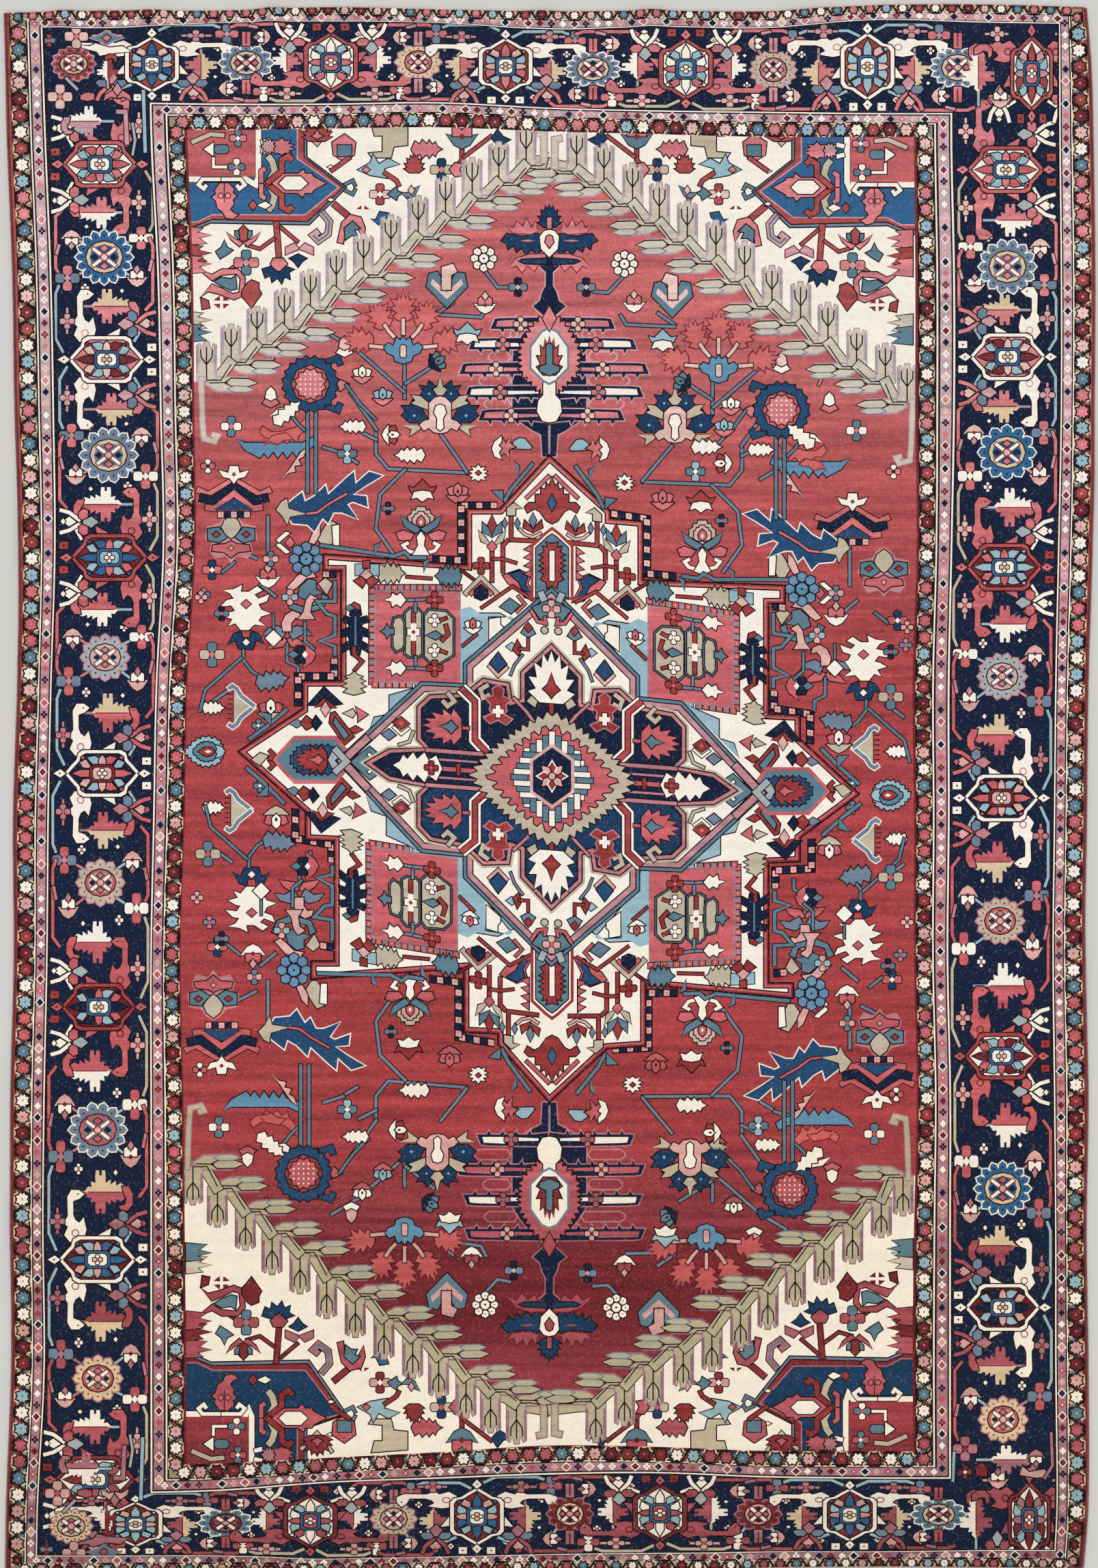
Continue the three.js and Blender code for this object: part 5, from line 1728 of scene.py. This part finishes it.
def plainFloor():   # pale and matt, so that the worn edges of the rug stand out
    mesh = bpy.data.meshes.new("floor")
    mesh.from_pydata([(-9, -9, -0.001), (9, -9, -0.001), (9, 9, -0.001), (-9, 9, -0.001)], [],
        [(0, 1, 2, 3)])
    material, _, surface = newMaterial("pale matt floor", 0.9)
    surface.inputs["Base Color"].default_value = (0.62, 0.61, 0.59, 1)
    mesh.materials.append(material)
    floor = newObject("floor", mesh)


def pathObject(name, points):   # a curve along which the edge grows
    curve = bpy.data.curves.new(name, "CURVE")
    curve.dimensions = "3D"
    spline = curve.splines.new("POLY")
    spline.points.add(len(points) - 1)
    spline.points.foreach_set("co", np.column_stack([np.array(points), np.ones(len(points))]).ravel())
    return newObject(name, curve)


def nodeTree(name, **inputs):   # a Geometry Nodes tree that takes a path, with its named inputs
    tree = bpy.data.node_groups.new(name, "GeometryNodeTree")
    tree.interface.new_socket("Path", in_out="INPUT", socket_type="NodeSocketGeometry")
    for label, value in inputs.items():
        tree.interface.new_socket(label, in_out="INPUT",
            socket_type="NodeSocketFloat").default_value = value
    tree.interface.new_socket("Geometry", in_out="OUTPUT", socket_type="NodeSocketGeometry")
    return tree


def grownOn(path, tree, values, name, material):   # the tree's result as a plain mesh
    modifier = path.modifiers.new("made", "NODES")
    modifier.node_group = tree
    for item in tree.interface.items_tree:
        if item.in_out == "INPUT" and item.name in values:
            modifier[item.identifier] = values[item.name]
    bpy.context.view_layer.update()
    evaluated = path.evaluated_get(bpy.context.evaluated_depsgraph_get())
    mesh = bpy.data.meshes.new_from_object(evaluated)
    mesh.name = name
    if not mesh.materials:
        mesh.materials.append(material)
    path.modifiers.remove(modifier)
    bpy.data.objects.remove(path)
    print(name, "faces", len(mesh.polygons))
    return newObject(name, mesh)


# Metres between turns, radii in metres, and how many degrees the turns sway
selvage = {"turn": 0.0043, "core": 0.0022, "yarn": 0.00165, "loose": 7.0}


def selvageTree(material):   # a core cord overcast with turns of wool yarn
    tree = nodeTree("overcasting", Turn=selvage["turn"], Core=selvage["core"], Yarn=selvage["yarn"],
        Loose=0.1)
    given = addNode(tree, "NodeGroupInput")
    fine = addNode(tree, "GeometryNodeResampleCurve", {"Curve": given.outputs["Path"],
        "Length": given.outputs["Turn"]}, mode="LENGTH")
    toPoints = addNode(tree, "GeometryNodeCurveToPoints", {0: fine}, mode="EVALUATED")
    reach = addNode(tree, "ShaderNodeMath", {0: given.outputs["Core"], 1: 0.0004}, operation="ADD")
    big = addNode(tree, "GeometryNodeCurvePrimitiveCircle", {"Resolution": 8, "Radius": reach})
    small = addNode(tree, "GeometryNodeCurvePrimitiveCircle", {"Resolution": 6,
        "Radius": given.outputs["Yarn"]})
    turn = addNode(tree, "GeometryNodeCurveToMesh", {"Curve": big, "Profile Curve": small})
    low = addNode(tree, "ShaderNodeMath", {0: given.outputs["Loose"], 1: -1.0}, operation="MULTIPLY")
    sway = addNode(tree, "FunctionNodeRandomValue", {2: low, 3: given.outputs["Loose"], "Seed": 11},
        data_type="FLOAT")
    tip = addNode(tree, "ShaderNodeCombineXYZ", {"X": sway.outputs[1], "Y": sway.outputs[1]})
    lean = addNode(tree, "FunctionNodeEulerToRotation", {0: tip})
    turned = addNode(tree, "FunctionNodeRotateRotation", {0: toPoints.outputs["Rotation"], 1: lean},
        rotation_space="LOCAL")
    size = addNode(tree, "FunctionNodeRandomValue", {2: 0.9, 3: 1.06, "Seed": 12}, data_type="FLOAT")
    placed = addNode(tree, "GeometryNodeInstanceOnPoints", {"Points": toPoints, "Instance": turn,
        "Rotation": turned, "Scale": size.outputs[1]})
    cordProfile = addNode(tree, "GeometryNodeCurvePrimitiveCircle", {"Resolution": 8,
        "Radius": given.outputs["Core"]})
    coarse = addNode(tree, "GeometryNodeResampleCurve", {"Curve": given.outputs["Path"], "Length": 0.03},
        mode="LENGTH")
    core = addNode(tree, "GeometryNodeCurveToMesh", {"Curve": coarse, "Profile Curve": cordProfile,
        "Fill Caps": True})
    both = addNode(tree, "GeometryNodeJoinGeometry")
    tree.links.new(placed.outputs[0], both.inputs[0])
    tree.links.new(core.outputs[0], both.inputs[0])
    real = addNode(tree, "GeometryNodeRealizeInstances", {0: both})
    smooth = addNode(tree, "GeometryNodeSetShadeSmooth", {0: real})
    dressed = addNode(tree, "GeometryNodeSetMaterial", {0: smooth, "Material": material})
    addNode(tree, "NodeGroupOutput", {0: dressed})
    return tree


# Metres between the ends, their size, and the strip that they come out of
warpEnds = {"spacing": 0.0058, "long": 0.0042, "thick": 0.0009, "strip": 0.0037, "stripThick": 0.0024}


def warpTree(material):   # the worn edge: a thin strip of warp with short uneven ends
    tree = nodeTree("warp ends", Spacing=warpEnds["spacing"], Long=warpEnds["long"],
        Thick=warpEnds["thick"], Outward=1.0)
    given = addNode(tree, "NodeGroupInput")
    fine = addNode(tree, "GeometryNodeResampleCurve", {"Curve": given.outputs["Path"],
        "Length": given.outputs["Spacing"]}, mode="LENGTH")
    toPoints = addNode(tree, "GeometryNodeCurveToPoints", {0: fine}, mode="EVALUATED")
    end = addNode(tree, "GeometryNodeMeshCone", {"Vertices": 5, "Radius Top": 0.00025,
        "Radius Bottom": given.outputs["Thick"], "Depth": given.outputs["Long"]})
    spread = addNode(tree, "FunctionNodeRandomValue", {0: (1.25, -0.5, -0.55), 1: (1.5, 0.5, 0.55),
        "Seed": 21}, data_type="FLOAT_VECTOR")
    facing = addNode(tree, "ShaderNodeCombineXYZ", {"X": given.outputs["Outward"], "Y": 1.0, "Z": 1.0})
    aimed = addNode(tree, "ShaderNodeVectorMath", {0: spread, 1: facing}, operation="MULTIPLY")
    lean = addNode(tree, "FunctionNodeEulerToRotation", {0: aimed})
    size = addNode(tree, "FunctionNodeRandomValue", {2: 0.45, 3: 1.0, "Seed": 22}, data_type="FLOAT")
    placed = addNode(tree, "GeometryNodeInstanceOnPoints", {"Points": toPoints, "Instance": end,
        "Rotation": lean, "Scale": size.outputs[1]})
    real = addNode(tree, "GeometryNodeRealizeInstances", {0: placed})
    dressed = addNode(tree, "GeometryNodeSetMaterial", {0: real, "Material": material})
    addNode(tree, "NodeGroupOutput", {0: dressed})
    return tree


def warpStrip(name, end, material):   # the strip that the ends come out of
    low, high = sideX(-1, end * 2.07) + 0.006, sideX(1, end * 2.07) - 0.006
    xs = np.linspace(low, high, 240)
    inner = [endY(end, x) - end * rug["endStrip"] for x in xs]
    rows = [(0.0003, 0.0), (0.0003, 1.0), (warpEnds["strip"], 1.0), (warpEnds["strip"] + 0.0006, 0.4),
        (warpEnds["strip"], 0.0)]
    verts = []
    for x, y in zip(xs, inner):
        base = float(lift(x, y))
        ragged = 0.0004 * math.sin(x * 700) + 0.0003 * math.sin(x * 1900 + 1)
        verts += [(x, y + end * (out + (ragged if out > 0.001 else 0)),
            base + 0.0002 + up * warpEnds["stripThick"]) for out, up in rows]
    count = len(rows)
    faces = []
    for i in range(len(xs) - 1):
        for k in range(count):
            a, b = i * count + k, i * count + (k + 1) % count
            faces.append((a, b, b + count, a + count) if end > 0 else (a, a + count, b + count, b))
    caps = [tuple(range(count)), tuple(range(len(verts) - count, len(verts)))]
    faces += [caps[0][::-1], caps[1]] if end > 0 else [caps[0], caps[1][::-1]]
    mesh = bpy.data.meshes.new(name)
    mesh.from_pydata(verts, [], faces)
    mesh.materials.append(material)
    return newObject(name, mesh)


def joined(first, second):   # two objects made one
    with bpy.context.temp_override(active_object=first, selected_editable_objects=[first, second]):
        bpy.ops.object.join()
    return first


print("selvages and ends")
selvageWool = yarn("overcast selvage wool", "#7d3a3c", "#9a5a55", 0.0012)
warpCotton = yarn("undyed cotton warp", "#d9cfc6", "#b9aca2", 0.0008)
overcasting, worn = selvageTree(selvageWool), warpTree(warpCotton)
edges = {}
for side, name in ((-1, "selvage_left"), (1, "selvage_right")):
    ys = np.linspace(endY(-1, side * 1.43) + 0.012, endY(1, side * 1.43) - 0.012, 420)
    xs = [sideX(side, y) - side * 0.0042 for y in ys]
    line = [(x, y, float(lift(x, y)) + 0.0043) for x, y in zip(xs, ys)]
    values = {"Turn": selvage["turn"], "Core": selvage["core"], "Yarn": selvage["yarn"],
        "Loose": math.radians(selvage["loose"])}
    edges[name] = grownOn(pathObject(name + "Path", line), overcasting, values, name + "_wool", selvageWool)
for end, name in ((1, "end_strip_top"), (-1, "end_strip_bottom")):
    strip = warpStrip(name + "_cotton", end, warpCotton)
    xs = np.linspace(sideX(-1, end * 2.07) + 0.012, sideX(1, end * 2.07) - 0.012, 500)
    ys = [endY(end, x) - end * (rug["endStrip"] - 0.0055) for x in xs]
    line = [(x, y, float(lift(x, y)) + 0.0013) for x, y in zip(xs, ys)]
    values = {"Spacing": warpEnds["spacing"], "Long": warpEnds["long"], "Thick": warpEnds["thick"],
        "Outward": -float(end)}
    tufts = grownOn(pathObject(name + "Path", line), worn, values, name + "_tufts", warpCotton)
    edges[name] = joined(strip, tufts)

print("the pile")
wool = woolPile()
edge, outer, inner, fieldEdge = ring("edge", step=12), ring("outer"), ring("inner"), ring("field")
zones = {
    "guard_outer": slab("guard_outer", guards("outer", "wine"), [edge, outer], 14, wool),
    "border_main": slab("border_main", mainBorder(), [outer, inner], 14, wool),
    "guard_inner": slab("guard_inner", guards("inner", "ink"), [inner, fieldEdge], 14, wool),
    "field": slab("field", field(), [fieldEdge], 14, wool),
}

for piece in zones.values():
    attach(piece, "root")
    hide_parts("rug_body")
for name, piece in edges.items():
    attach(piece, "root")
    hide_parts(name)

print("floor, light and camera")
plainFloor()
studio = {"sky": 0.72, "sun": 1.3, "spread": 0.6, "tilt": (-38, -14)}   # strengths, then the sun's angles
world = bpy.data.worlds.new("studio")
world.use_nodes = True
world.node_tree.nodes["Background"].inputs["Color"].default_value = (1, 1, 1, 1)
world.node_tree.nodes["Background"].inputs["Strength"].default_value = studio["sky"]
bpy.context.scene.world = world
lamp = bpy.data.lights.new("softLight", "SUN")
lamp.energy = studio["sun"]
lamp.angle = studio["spread"]
lampObject = newObject("softLight", lamp)
lampObject.rotation_euler = (*map(math.radians, studio["tilt"]), 0)
bpy.context.scene.view_settings.view_transform = "Standard"
bpy.context.scene.view_settings.look = "None"

# Straight down; across is the long side of the picture in metres
view = {"height": 6.0, "across": 4.1328, "x": -0.0009, "y": 0.0117}
camera = bpy.data.cameras.new("camera")
camera.sensor_fit = "VERTICAL"
camera.sensor_height = 36
camera.lens = 36 * (view["height"] - rug["thick"]) / view["across"]
cameraObject = newObject("camera", camera)
cameraObject.location = (view["x"], view["y"], view["height"])
bpy.context.scene.camera = cameraObject
